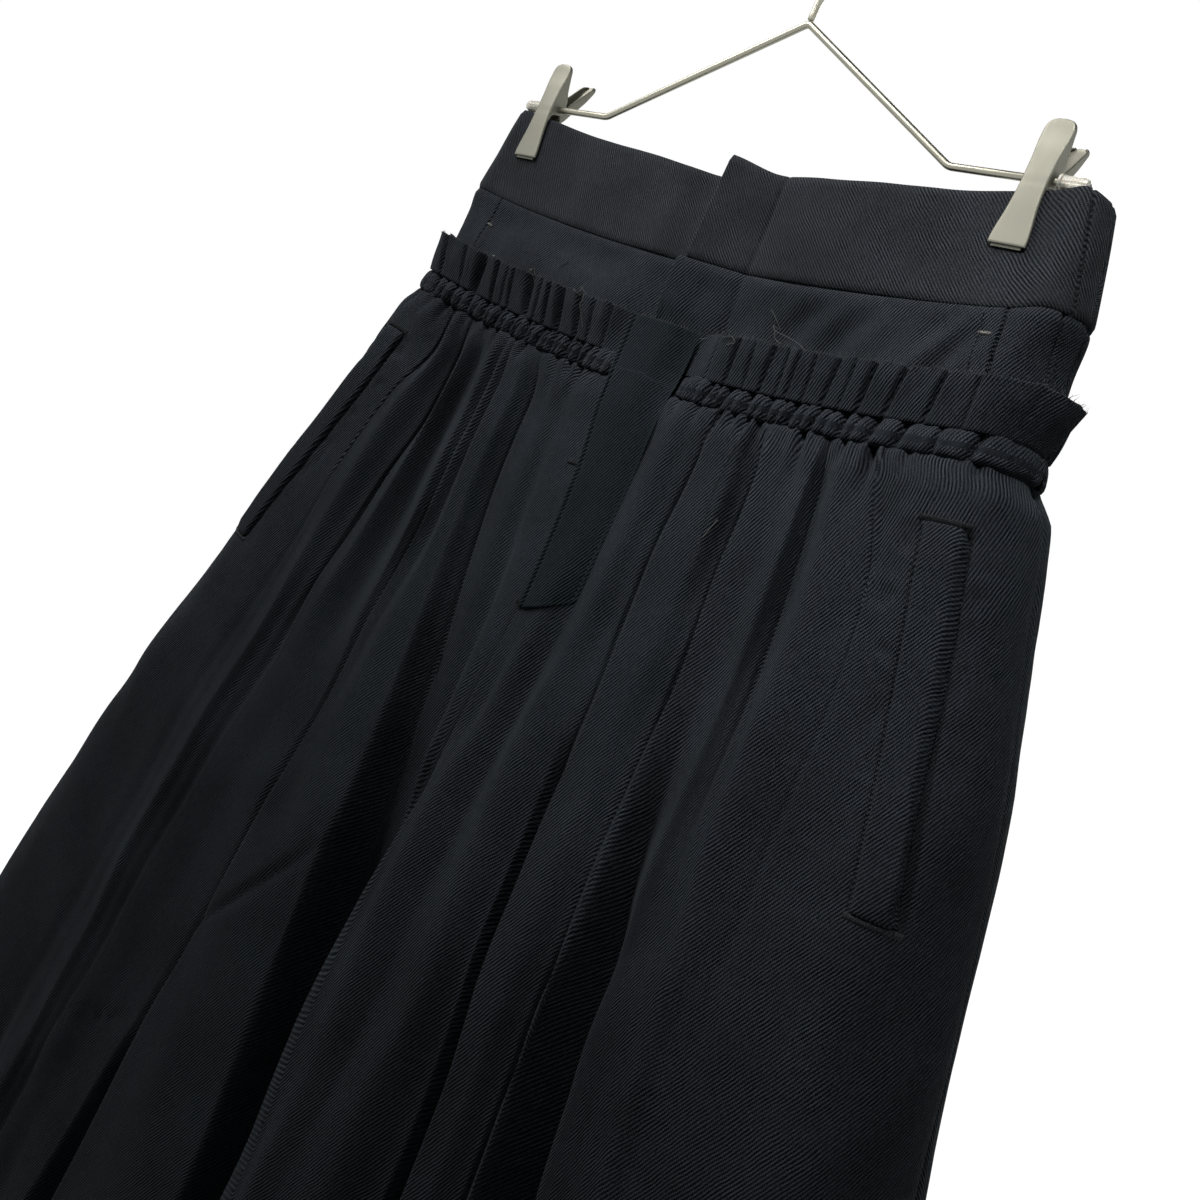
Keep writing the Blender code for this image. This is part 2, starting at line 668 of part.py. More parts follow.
def rounded_corner(before, corner, after, radius, steps):
    """Points of an arc that rounds a corner of a route in the X-Z plane."""
    ax, az = before[0] - corner[0], before[1] - corner[1]
    bx, bz = after[0] - corner[0], after[1] - corner[1]
    a_len = math.hypot(ax, az)
    b_len = math.hypot(bx, bz)
    ax, az, bx, bz = ax / a_len, az / a_len, bx / b_len, bz / b_len
    half = math.acos(max(-1.0, min(1.0, ax * bx + az * bz))) / 2
    reach = radius / math.tan(half)
    mx, mz = ax + bx, az + bz
    m_len = math.hypot(mx, mz)
    inset = radius / math.sin(half) / m_len
    centre = (corner[0] + mx * inset, corner[1] + mz * inset)
    start = math.atan2(corner[1] + az * reach - centre[1], corner[0] + ax * reach - centre[0])
    end = math.atan2(corner[1] + bz * reach - centre[1], corner[0] + bx * reach - centre[0])
    turn = (end - start + math.pi) % (2 * math.pi) - math.pi
    angles = [start + turn * k / steps for k in range(steps + 1)]
    return [(centre[0] + radius * math.cos(a), centre[1] + radius * math.sin(a)) for a in angles]


def make_wire():
    left_end = (-WIRE_END_X, WIRE_BAR)
    left_bend = (-WIRE_BEND_X, WIRE_BAR)
    apex = (0.0, WIRE_APEX + 2.2)
    right_bend = (WIRE_BEND_X, WIRE_BAR)
    right_end = (WIRE_END_X, WIRE_BAR)
    route = [left_end]
    route += rounded_corner(left_end, left_bend, apex, 9.0, 5)
    route += rounded_corner(left_bend, apex, right_bend, 4.5, 6)
    route += rounded_corner(apex, right_bend, right_end, 9.0, 5)
    route.append(right_end)
    wire("hanger_wire", [(x, 0.0, z) for x, z in route], WIRE_RADIUS)
    return max(z for _, z in route)


def make_hook(foot):
    """A question-mark hook whose inner top is the origin."""
    radius = HOOK_INNER + WIRE_RADIUS
    centre = -HOOK_INNER
    stem_top = centre - radius - 9.0
    join = math.radians(-52)
    route = [(0.0, foot + WIRE_RADIUS + GAP), (0.0, (foot + stem_top) / 2 + 1.0), (0.0, stem_top)]
    end = (radius * math.cos(join), centre + radius * math.sin(join))
    for k in (1, 2, 3):
        t = k / 4
        x = end[0] * t * t
        z = stem_top + (end[1] - stem_top) * (2 * t - t * t)
        route.append((x, z))
    steps = 18
    for k in range(steps + 1):
        angle = join + math.radians(245) * k / steps
        route.append((radius * math.cos(angle), centre + radius * math.sin(angle)))
    wire("hanger_hook", [(x, 0.0, z) for x, z in route], WIRE_RADIUS)


def clip_plate(name, x, table, toward):
    """A channel bent from sheet: a face plate with a flange along each edge."""
    rings = []
    for z, half, face, flange in table:
        outer = face - toward * PLATE_THICK
        tip = face + toward * flange
        inside = half - PLATE_THICK
        section = (
            (-half, outer), (half, outer), (half, tip), (inside, tip),
            (inside, face), (-inside, face), (-inside, tip), (-half, tip),
        )
        rings.append([((x + across) * MM, y * MM, z * MM) for across, y in section])
    return closed_loft(name, rings, NICKEL, 0.35, 1.0)


def bore(made, x):
    """Cut the hole that the hanger's wire runs through in both flanges."""
    bpy.ops.mesh.primitive_cylinder_add(
        vertices=16, radius=(WIRE_RADIUS + GAP) * MM, depth=30 * MM,
        location=(x * MM, 0.0, WIRE_BAR * MM), rotation=(0.0, math.pi / 2, 0.0),
    )
    cutter = bpy.context.object
    cutter.name = made.name + "_bore"
    for owner in list(cutter.users_collection):
        owner.objects.unlink(cutter)
    bpy.data.collections["cutters"].objects.link(cutter)
    cutter.hide_render = True
    cutter.display_type = "WIRE"
    cut = made.modifiers.new("bore", "BOOLEAN")
    cut.operation = "DIFFERENCE"
    cut.solver = "EXACT"
    cut.object = cutter


def slab(name, low, high):
    """Box between two corners."""
    bpy.ops.mesh.primitive_cube_add(size=1.0)
    made = bpy.context.object
    made.name = name
    for owner in list(made.users_collection):
        owner.objects.unlink(made)
    bpy.data.collections["harem_trousers"].objects.link(made)
    for vertex in made.data.vertices:
        vertex.co = [(a if c < 0 else b) * MM for a, b, c in zip(low, high, vertex.co)]
    made.data.materials.append(material(name, NICKEL, 0.35, 1.0))


def make_clip(name, side):
    x = side * CLIP_X
    front = clip_plate("clip_%s_front" % name, x, FRONT_PLATE, 1)
    bore(front, x)
    clip_plate("clip_%s_rear" % name, x, REAR_PLATE, -1)
    cloth_face = GRIP_Y - GRIP_HALF - GAP
    slab(
        "clip_%s_liner" % name,
        (x - LINER_HALF, cloth_face - LINER_THICK, CLIP_LOW - 1.3),
        (x + LINER_HALF, cloth_face, CLIP_LOW + 8.0),
    )


def make_spring(name, side):
    """Torsion spring wound round the hanger's wire between the flanges."""
    around = 10
    mean = WIRE_RADIUS + GAP + SPRING_WIRE
    count = SPRING_TURNS * around
    route = []
    for k in range(count + 1):
        angle = 2 * math.pi * k / around
        along = side * CLIP_X - SPRING_LENGTH / 2 + SPRING_LENGTH * k / count
        route.append((along, mean * math.cos(angle), WIRE_BAR + mean * math.sin(angle)))
    made = wire("clip_%s_spring" % name, route, SPRING_WIRE)
    made.data.bevel_resolution = 1


def make_roller(name, side):
    """Clear cap on the wire's end, with a rim beside the clip."""
    start = side * (WIRE_END_X + GAP)
    end = ROLLER_LENGTH
    rings = []
    for along, radius in ((0.0, 3.9), (1.2, 3.9), (1.3, 3.3), (end - 3, 3.3), (end - 1, 2.6), (end, 1.2)):
        ring = []
        for k in range(14):
            angle = 2 * math.pi * k / 14
            y = radius * math.cos(angle)
            z = WIRE_BAR + radius * math.sin(angle)
            ring.append(((start + side * along) * MM, y * MM, z * MM))
        rings.append(ring)
    closed_loft("hanger_roller_%s" % name, rings, ROLLER, 0.3, 0.0)


# ---------------------------------------------------------------- build


def clear_scene():
    for old in list(bpy.data.objects):
        bpy.data.objects.remove(old, do_unlink=True)
    for name in ("harem_trousers", "cutters"):
        group = bpy.data.collections.new(name)
        bpy.context.scene.collection.children.link(group)


def main():
    clear_scene()
    make_waistband()
    make_yoke()
    make_frill()
    make_casing()
    guide = make_legs()
    make_placket(guide)
    make_welt("pocket_welt_right", 1, guide)
    make_welt("pocket_welt_left", -1, guide)
    foot = make_wire()
    make_hook(foot)
    for name, side in (("left", -1), ("right", 1)):
        make_clip(name, side)
        make_spring(name, side)
        make_roller(name, side)


main()
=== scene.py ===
"""Looks of the harem trousers on their clip hanger: the cloth with its folds, gathers, raw frill and
stitching, and the hanger with its bent plates, springs and rollers.

Sizes are millimetres, and levels are heights at the side of the body, as in the CAD source. Camera,
lights, backdrop and the flat sizes of the cloth are in metres. Every cloth piece is a grid of points
over the body's section, so what lies on a panel reads the panel.
"""

import math

import bpy
import numpy as np
from mathutils import Matrix, Vector
from mathutils.bvhtree import BVHTree


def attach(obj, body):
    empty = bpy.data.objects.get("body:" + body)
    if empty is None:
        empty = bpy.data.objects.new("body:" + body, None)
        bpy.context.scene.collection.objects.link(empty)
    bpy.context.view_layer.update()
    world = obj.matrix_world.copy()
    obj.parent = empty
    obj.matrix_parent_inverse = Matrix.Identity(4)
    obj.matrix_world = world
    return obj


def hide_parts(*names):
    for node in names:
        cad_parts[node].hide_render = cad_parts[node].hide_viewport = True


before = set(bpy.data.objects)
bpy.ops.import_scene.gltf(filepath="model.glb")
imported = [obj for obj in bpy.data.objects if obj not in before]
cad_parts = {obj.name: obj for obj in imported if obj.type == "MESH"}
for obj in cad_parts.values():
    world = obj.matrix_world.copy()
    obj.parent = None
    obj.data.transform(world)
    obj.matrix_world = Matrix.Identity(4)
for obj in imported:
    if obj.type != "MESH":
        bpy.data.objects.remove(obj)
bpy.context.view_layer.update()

MM = 0.001


# ---------------------------------------------------------------- driving sizes

# The trousers: levels, then thicknesses, laps and the pockets
BAND_TOP = -118.0
BAND_BOTTOM = -170.0
FRILL_TOP = -204.0
CASING_TOP = -226.0
CASING_BOTTOM = -240.0
GAP = 0.3
SAG = 17.0
BAND_THICK = 1.6
YOKE_THICK = 1.4
FRILL_THICK = 0.7
PANEL_THICK = 1.0
PLACKET_THICK = 1.3
WELT_THICK = 1.2
BAND_LAP = 5.0
UNDER_LAP = 30.0
LAP_LIFT = 5.0
UNDER_DROP = 3.0
HEM = -1100.0
HEM_STITCH = -1078.0
TUCK_IN = -236.5
WELT_TOP = -267.0
WELT_LOW = -422.0
WELT_INNER_TOP = 182.0
WELT_INNER_LOW = 230.0
WELT_WIDTH = 17.0

# The fold of the lap, the rise of the band's seam at the side, the columns of a strip of the waist, and
# the level up to which the panels are carried on under the pieces laid on them
LAP_FOLD = 33.0
SIDE_ARCH = 1.7
STRIP_COLUMNS = 185
LAID_TOP = -196.0

# The casing: its cloth's width once round, how round its section is, and its wall's share of the way to
# the middle. Then the height of the frill's cloth
CASING_ROUND = 32.0
CASING_SQUARE = 0.80
CASING_WALL = 0.26
FRILL_HEIGHT = 22.0

# The clips' grip on the band, and the hanger's wire
GRIP_Y = -2.0
GRIP_HALF = 2.2
GRIP_FLAT = 10.5
GRIP_INNER_REACH = 32.0
GRIP_OUTER_REACH = 13.0
GRIP_FADE = 42.0
CLIP_X = 157.0
CLIP_LOW = -148.0
WIRE_RADIUS = 1.8
WIRE_APEX = -55.0
WIRE_BAR = -115.5
WIRE_BEND_X = 111.0
WIRE_END_X = 165.2
HOOK_INNER = 17.0

SILHOUETTE = np.array((
    # level, half width, middle, half depth
    (-118.0, 185.0, 9.0, 13.0),
    (-170.0, 197.0, 12.0, 18.0),
    (-205.0, 201.5, 15.0, 22.0),
    (-226.0, 201.5, 15.0, 24.0),
    (-240.0, 204.5, 15.0, 27.0),
    (-254.0, 217.0, 15.0, 30.0),
    (-300.0, 232.0, 14.0, 32.0),
    (-381.0, 258.0, 10.0, 36.0),
    (-463.0, 278.0, 5.0, 42.0),
    (-532.0, 293.0, 0.0, 48.0),
    (-615.0, 318.0, 0.0, 50.0),
    (-740.0, 345.0, 0.0, 57.0),
    (-875.0, 363.0, 0.0, 60.0),
    (-975.0, 360.0, 0.0, 60.0),
    (-1100.0, 338.0, 0.0, 58.0),
))

FOLD_LEVELS = (-255.0, -325.0, -415.0, -505.0, -595.0, -745.0, -1100.0)
SEAM_RIGHT_X = (0, 0, 0, -3, -8, 3, 4)
SEAM_LEFT_X = (0, 0, 0, 3, 8, 7, 6)
SEAM_DEPTH = (0, 0, 0, 12, 48, 64, 64)
FRONT_TURN_RIGHT = (0, 0, 0, 40, 87, 90, 90)
FRONT_TURN_LEFT = (0, 0, 0, -30, 87, 90, 90)
BACK_TURN = (0, 0, 0, 12, 87, 90, 90)

# Fold lines. Each row: name, how sharp the cloth bends there (0 round, 1 a crease), then at every
# level in DRAPE_LEVELS (FOLD_LEVELS for the back) the distance from the centre line and the depth (in
# is positive). The last depth holds for all the levels below it.
DRAPE_LEVELS = (-240, -262, -300, -350, -400, -450, -500, -550, -600, -660, -745, -900, -1100)
POCKET_INNER_AT = (173.6, 180.5, 192.2, 207.7, 223.2, 238.7, 250, 262, 272, 282, 296, 306, 312)
POCKET_OUTER_AT = (190.8, 197.7, 209.5, 225.2, 241.2, 257, 268, 280, 290, 300, 314, 324, 330)
FRONT_RIGHT_FOLDS = (
    ("leg_edge", 0.0, (8, 8, 8, 8, 8, 6.5, 5, 4, 3, 7, 14, 18, 22), 0),
    ("centre_crest", 0.0, (16, 16, 16, 16, 14, 14, 16, 20, 22, 24, 28, 32, 36),
     (0, 0, 0, -0.5, -1.5, -2, -3, -3.5, -4, -5)),
    ("valley_a", 0.4, (26, 27, 28.5, 30, 29, 31, 36, 40, 40, 38, 44, 48, 52),
     (0, 0.8, 1.5, 3.6, 4.4, 4.2, 2.2, 0.5, -1, -2.5, -3, -4)),
    ("crest_a", 0.0, (40, 41, 42, 43, 42, 46, 56, 64, 60, 62, 66, 68, 74),
     (-1, -1.5, -1.5, -1.5, -2, -2.5, -3, -4, -5)),
    ("shoulder_b", 0.0, (51, 52, 52, 56, 62, 68, 75, 83, 88, 91, 94, 97, 102),
     (0, 0.5, 1.2, 1.5, 0.5, 3, 4, 5, 6)),
    ("valley_b", 1.0, (58, 58.5, 57.5, 61.5, 69, 71, 78, 85.5, 90, 94, 97, 100, 104),
     (2, 3.2, 4.6, 4.6, 2.5, 13, 20, 25, 28, 30, 32)),
    ("crest_b", 0.0, (63, 63, 62.5, 67, 73.5, 79, 87.5, 97, 102.5, 107, 111, 114, 118),
     (-1, -1.6, -1.6, -1.6, -1.6, -2, -2.5, -2.5, -3)),
    ("crest_b_far", 0.0, (76, 80, 84, 86, 89, 94, 101, 109, 114, 119, 126, 130, 138),
     (-1, -1.4, -1.5, -1.8, -2)),
    ("crease_c", 1.0, (87, 90, 93.5, 101.5, 107.5, 113, 119.5, 125.5, 130, 135, 142, 146, 152),
     (6, 9, 8, 6, 5.5, 6, 7, 7, 7, 6)),
    ("crest_c", 0.4, (92, 95.5, 98.5, 105, 111, 117, 123.5, 130, 135, 141, 149, 155, 163),
     (0, -0.6, -0.8, -0.6, -0.3, 0)),
    ("valley_d", 0.25, (106, 110, 113, 117, 123, 128, 137, 146, 152, 158, 168, 176, 184),
     (0.5, 0.2, 0.5, 1.6, 6, 17, 28, 33, 36, 38, 40)),
    ("crest_d", 0.45, (118, 122, 127, 133, 138.5, 143.5, 155, 164, 171, 178, 187, 195, 204),
     (-0.5, -1.4, -2.4, -2.4, -2.2, -2, -3)),
    ("valley_e", 1.0, (121.5, 125, 131.5, 141, 148, 156, 166, 176, 184, 192, 202, 215, 226),
     (4, 8, 9, 5, 2, 0, -2, -2.5, -2.5, -2, -1, 0)),
    ("crest_e", 0.0, (134, 137, 146, 154, 160, 168, 180, 190, 200, 210, 222, 236, 246),
     (-1, -1.2, -1.5, -1.5, -1.5, -1.5, -2.5, -3)),
    ("valley_f", 1.0, (148, 155, 171, 180, 184, 190, 200, 210, 218, 226, 240, 262, 280),
     (3, 4.4, 1.8, 0.8, 1.2, 1.6, 1, 0.5, 0, 1, 3, 8, 12)),
    ("pocket_inner", 0.0, POCKET_INNER_AT, (-1, -1, -1, -1, -1, -1, -1, -1, -1, -1, -1.5, -2)),
    ("pocket_outer", 0.0, POCKET_OUTER_AT,
     (-0.8, -0.8, -0.8, -0.8, -0.8, -0.8, -0.8, -0.8, -0.8, -0.8, -1)),
)

FRONT_LEFT_FOLDS = (
    ("centre_edge", 0.0, (22, 26, 28, 21, 14, 9.5, 6, 9, 11, 9, 8.5, 8.5, 8.5),
     (0, 0, 0, 0, 0, 0.5, 13, 33, 47, 50)),
    ("valley_s", 0.2, (38, 38, 37, 30, 24, 18, 12, 14, 15, 11, 10, 10, 10),
     (0.4, 1, 2.6, 5, 10, 19, 22, 36, 45, 45, 42)),
    ("crest_s", 0.0, (50, 47, 45, 41, 37, 30, 21, 20, 20, 15, 12, 12.5, 12.5),
     (0, 0.2, 1.4, 4, 9, 17, 28, 37, 40, 36, 32)),
    ("valley_a", 1.0, (70, 66, 65, 58.5, 49, 41.5, 33, 28, 26, 20, 15, 16, 17),
     (4.5, 7.5, 9, 11, 14, 19, 27, 32, 32, 27, 22)),
    ("crest_a", 0.1, (78, 76, 75, 69.5, 60, 50.5, 41, 37, 34.5, 28, 22, 26, 30),
     (-1, -1.5, -1.5, -1)),
    ("crest_a_far", 0.0, (89, 86, 84, 79, 77, 74, 68, 64, 62, 60, 62, 68, 74),
     (-0.5, -1.2, -1.8, -1.8, -1.8, -2)),
    ("wedge", 0.6, (92, 91, 91, 88.5, 87, 85, 82, 84, 88, 92, 96, 106, 115),
     (2.4, 4.4, 5, 4, 1.2, -0.6, -1.6)),
    ("tuck_edge", 0.9, (95, 95.5, 95.5, 95, 94.5, 92, 90.5, 93.5, 99.5, 106, 112, 124, 135),
     (0.5, 0.8, 0.8, 0.4, -0.4, -1.4, -1.8, -1.6, -1.4, -1.2)),
    ("crease_g", 1.2, (98, 98.5, 98.5, 98, 97.5, 95.5, 94.5, 97, 102.5, 110, 119, 138, 155),
     (3.4, 4.6, 4.8, 4.8, 6, 11, 15, 13, 11, 12, 18, 24, 28)),
    ("crest_g", 0.3, (102.5, 103, 103, 102.5, 103, 103.5, 104, 106, 112, 120, 132, 152, 166),
     (0, -0.4, -0.6, -0.6, 0.5, 4, 6, 6, 5.5, 5, 4, 1, -1)),
    ("valley_h", 0.1, (114, 117, 119, 119, 121, 124, 128, 134, 140, 147, 158, 178, 196),
     (2, 5, 7, 8, 7.5, 7, 6.5, 6, 5.5, 5, 5, 7, 9)),
    ("crest_h", 0.3, (126, 125.5, 127, 132, 138, 144, 148, 154, 160, 166, 176, 194, 212),
     (-1, -2.2, -2.2, -2, -0.2, 2.4, 3.4, 3.4, 3, 2.6, 2, 1.5)),
    ("valley_i", 1.0, (134, 135.5, 138, 148, 153, 157, 160, 164, 170, 175, 184, 202, 220),
     (5, 8, 9, 8, 7, 6, 5, 4.4, 3.8, 3.4, 3.2, 4, 5)),
    ("crest_i", 0.35, (146, 146, 158, 166, 169, 172, 175, 179, 187, 191, 197, 215, 235),
     (-0.5, -1.2, -2.4, -2.8, -2.8, -2.8, -2.6, -2.2, -2.2, -2.2, -2)),
    ("valley_j", 1.0, (152, 154, 170, 181, 186, 192, 198, 204, 210, 216, 228, 246, 262),
     (5, 6, 2.5, 1, 1, 1.4, 1.8, 2, 2, 2, 3, 6, 10)),
    ("pocket_inner", 0.0, POCKET_INNER_AT, -1),
    ("pocket_outer", 0.0, POCKET_OUTER_AT, -0.8),
)

BACK_FOLDS = (
    ("leg_edge", 0.0, (8, 9, 10, 12, 14, 18, 22), 0),
    ("crest_k", 0.0, (32, 36, 40, 46, 50, 56, 62), (-2, -2, -3, -4)),
    ("valley_k", 0.3, (52, 58, 66, 74, 82, 90, 96), (9, 10, 13, 20, 26, 28)),
    ("crest_l", 0.0, (68, 78, 88, 100, 110, 122, 130), (-2, -2, -3)),
    ("valley_l", 0.2, (84, 98, 112, 128, 142, 156, 166), (10, 9, 8, 10, 13, 16, 18)),
    ("crest_m", 0.0, (98, 114, 132, 152, 168, 184, 196), -2),
    ("valley_m", 0.3, (116, 136, 156, 180, 200, 218, 230), (12, 12, 14, 18, 24, 30)),
    ("crest_n", 0.0, (134, 156, 178, 204, 224, 244, 256), -3),
    ("valley_n", 0.2, (152, 178, 202, 230, 248, 268, 278), (7, 6, 4, 4, 6, 8, 9)),
    ("crest_o", 0.0, (168, 196, 224, 250, 268, 286, 296), -1),
)

# Small gathers that start under the casing and fade out. Each row: distance at the casing,
# distance at the end, length, depth, width.
GATHERS_RIGHT = (
    (33, 33, 14, 1.0, 5), (46, 47, 22, 1.2, 6), (60, 61, 16, 2.2, 5), (68, 69, 12, 1.4, 4),
    (76, 77, 15, 2.2, 4.5), (82, 84, 28, 1.6, 5), (107, 115, 28, 2.8, 5), (129, 131, 14, 1.6, 4),
    (143, 149.5, 26, 3.2, 5), (161, 163, 14, 1.2, 4.5), (176, 180, 10, 0.4, 5), (190, 198, 16, 1.4, 5),
)
GATHERS_LEFT = (
    (24, 24, 13, 1.1, 5), (31, 32, 16, 1.6, 5), (38, 39, 24, 1.9, 5), (47, 46, 16, 2.0, 5),
    (56, 54, 30, 2.0, 5.5), (63, 62, 12, 1.4, 4), (84, 84, 14, 1.8, 4.5), (109, 108, 20, 1.4, 4.5),
    (120, 119, 12, 1.2, 4),
    (140, 141, 16, 1.7, 4.5), (160, 164, 18, 1.6, 5), (172, 179, 16, 1.3, 6), (188, 196, 16, 1.2, 6),
)
GATHERS_BACK = (
    (16, 18, 70, 2.0, 10), (28, 30, 50, 2.2, 9), (42, 46, 90, 2.4, 10), (60, 66, 60, 2.2, 9),
    (76, 84, 100, 2.4, 10), (92, 102, 55, 2.0, 9), (107, 118, 80, 2.4, 10), (125, 138, 60, 2.2, 9),
    (143, 158, 90, 2.4, 10), (160, 176, 55, 2.0, 10), (176, 194, 80, 2.2, 11), (192, 210, 50, 1.8, 11),
)

# Pinches of the casing: distance from the centre line, how deep it bites, how far the pinch leans
PINCHES_RIGHT = (
    (33, 0.35, 0.5), (41, 0.3, -0.6), (47, 0.75, 1.0), (53, 0.6, -0.8), (58, 1.0, 1.2), (65, 0.35, 0.3),
    (72, 0.9, -0.6), (79, 0.4, 0.8), (84, 0.8, -1.0), (91, 0.5, 0.9), (97, 1.0, 0.6), (104, 0.4, -0.4),
    (110, 0.9, 0.8), (117, 0.4, 0.2), (124, 1.0, -0.8), (131, 0.4, 0.5), (139, 0.9, 0.9),
    (153, 1.0, 0.7), (170, 0.55, -0.5), (186, 0.9, 0.4), (212, 0.15, 0.0),
)
PINCHES_LEFT = (
    (24, 0.3, 0.2), (31, 0.4, 0.5), (38, 0.7, -0.8), (44, 0.9, 0.9), (49, 0.6, -1.0), (54, 1.0, 0.8),
    (60, 0.5, -0.5), (66, 1.0, 1.0), (71, 0.5, 0.7), (77, 0.9, -0.9), (83, 0.4, 0.4), (88, 1.0, 0.8),
    (95, 0.5, -0.7), (101, 0.9, 0.6), (108, 0.5, 0.9), (114, 0.8, -0.6), (121, 0.5, 0.5),
    (127, 1.0, 1.0), (134, 0.5, -0.8), (142, 0.9, 0.8), (150, 0.5, 0.3), (158, 0.9, -0.5),
    (167, 0.5, 0.6), (176, 0.8, 0.5), (186, 0.4, -0.4), (195, 0.7, 0.5), (213, 0.3, 0.0),
)


# ---------------------------------------------------------------- curves and noise


def curve(levels, values, at):
    """Monotone cubic through the rows of a table at falling levels."""
    levels = np.asarray(levels, float)
    values = np.asarray(values, float)
    at = np.clip(np.asarray(at, float), levels[-1], levels[0])
    more = (1,) * (values.ndim - 1)
    rates = np.diff(values, axis=0) / np.diff(levels).reshape((-1,) + more)
    slopes = np.empty_like(values)
    slopes[0], slopes[-1] = rates[0], rates[-1]
    before, after = rates[:-1], rates[1:]
    total = before + after
    same = before * after > 0
    slopes[1:-1] = np.where(same, 2 * before * after / np.where(same, total, 1.0), 0.0)
    k = np.clip(np.searchsorted(-levels, -at, side="right") - 1, 0, len(levels) - 2)
    span = (levels[k + 1] - levels[k]).reshape(at.shape + more)
    t = (at - levels[k]).reshape(at.shape + more) / span
    return (
        values[k] * (1 + 2 * t) * (1 - t) ** 2 + slopes[k] * span * t * (1 - t) ** 2
        + values[k + 1] * t * t * (3 - 2 * t) + slopes[k + 1] * span * t * t * (t - 1)
    )


def silhouette(level):
    """Half width, middle and half depth of the section at each level."""
    return [curve(SILHOUETTE[:, 0], SILHOUETTE[:, k], level) for k in (1, 2, 3)]


def ease(t):
    """Goes smoothly from 0 to 1 while t goes from 0 to 1."""
    return 0.5 - 0.5 * np.cos(np.pi * np.clip(t, 0.0, 1.0))


def bell(value, middle, width, power=2):
    """1 at the middle, and next to nothing two widths away from it."""
    return np.exp(-np.abs((value - middle) / width) ** power)


def unit(vectors):
    return vectors / (np.linalg.norm(vectors, axis=-1, keepdims=True) + 1e-9)


GRAIN_ROWS, GRAIN_COLUMNS = 97, 89


def swell(u, v, seed):
    """Smooth noise from -1 to 1 with a grain of one unit."""
    grain = np.random.default_rng(seed).uniform(-1, 1, (GRAIN_ROWS, GRAIN_COLUMNS))
    i, j = np.floor(u).astype(int), np.floor(v).astype(int)
    s, t = u - i, v - j
    s, t = s * s * (3 - 2 * s), t * t * (3 - 2 * t)
    rows, columns = (i % GRAIN_ROWS, (i + 1) % GRAIN_ROWS), (j % GRAIN_COLUMNS, (j + 1) % GRAIN_COLUMNS)
    a, b = [grain[row, columns[0]] for row in rows]
    c, d = [grain[row, columns[1]] for row in rows]
    return (a * (1 - s) + b * s) * (1 - t) + (c * (1 - s) + d * s) * t


# ---------------------------------------------------------------- the body's section


def girth_points(distance, recess, level, front):
    """Points of the section at distances from the centre line along the cloth, moved in by recess."""
    width, middle, depth = silhouette(level)
    reach = depth - recess
    straight = width - depth
    angle = np.clip((distance - straight) / depth, 0.0, np.pi / 2)
    x = np.where(distance <= straight, distance, straight + reach * np.sin(angle))
    y = np.where(distance <= straight, -reach, -reach * np.cos(angle))
    return x, middle + (y if front else -y)


def half_girth(level):
    width, _, depth = silhouette(level)
    return width - depth + depth * np.pi / 2


def placed(x, y, level, side):
    """Points in the model's frame: front and back drawn together in the jaws, and the sag between."""
    width, middle, depth = silhouette(level)
    beyond = np.abs(x) - CLIP_X
    reach = np.where(beyond > 0, GRIP_OUTER_REACH, GRIP_INNER_REACH)
    across = ease(1 - (np.abs(beyond) - GRIP_FLAT) / reach)
    pull = across * ease(1 - (CLIP_LOW - level) / GRIP_FADE)
    drawn = y + (GRIP_Y + GRIP_HALF * (y - middle) / depth - y) * pull
    drop = level - SAG * np.maximum(0.0, 1 - (x / width) ** 2)
    return np.stack(np.broadcast_arrays(side * x, drawn, drop), axis=-1)


def normals_of(grid, outward):
    """Unit normals of a grid of points, on the side that outward (y) points to on the whole."""
    normal = unit(np.cross(np.gradient(grid, axis=0), np.gradient(grid, axis=1)))
    return -normal if outward * normal[..., 1].sum() < 0 else normal


def arc(grid):
    """Length along each row of a grid from its first point."""
    steps = np.linalg.norm(np.diff(grid, axis=1), axis=-1)
    return np.concatenate([np.zeros((len(grid), 1)), np.cumsum(steps, axis=1)], axis=1)


def hang(x, level):
    """Height of a level at x: the cloth sags between its two clips."""
    width = silhouette(level)[0]
    return level - SAG * np.maximum(0.0, 1 - (x / width) ** 2)


# ---------------------------------------------------------------- mesh making


def new_piece(name, node, points, faces, material, weave):
    """Piece of the part from points in millimetres; weave is each point's place on the flat cloth."""
    mesh = bpy.data.meshes.new(name)
    mesh.from_pydata((points * MM).tolist(), [], faces)
    layer = mesh.uv_layers.new(name="weave")
    corner = np.empty(len(mesh.loops), dtype=np.int64)
    mesh.loops.foreach_get("vertex_index", corner)
    layer.data.foreach_set("uv", (weave[corner] * MM).ravel())
    mesh.materials.append(material)
    mesh.shade_smooth()
    piece = bpy.data.objects.new(name, mesh)
    bpy.context.scene.collection.objects.link(piece)
    if node:
        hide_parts(node)
    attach(piece, "root")


def quads(rows, columns, flip, offset=0):
    a = (np.arange(rows - 1)[:, None] * columns + np.arange(columns - 1)[None, :] + offset).ravel()
    ring = [a, a + columns, a + columns + 1, a + 1]
    return np.stack(ring[::-1] if flip else ring, axis=-1).tolist()


def strip(one, other, flip):
    """Faces between two runs of point numbers."""
    ring = [one[:-1], other[:-1], other[1:], one[1:]]
    return np.stack(ring[::-1] if flip else ring, axis=-1).tolist()


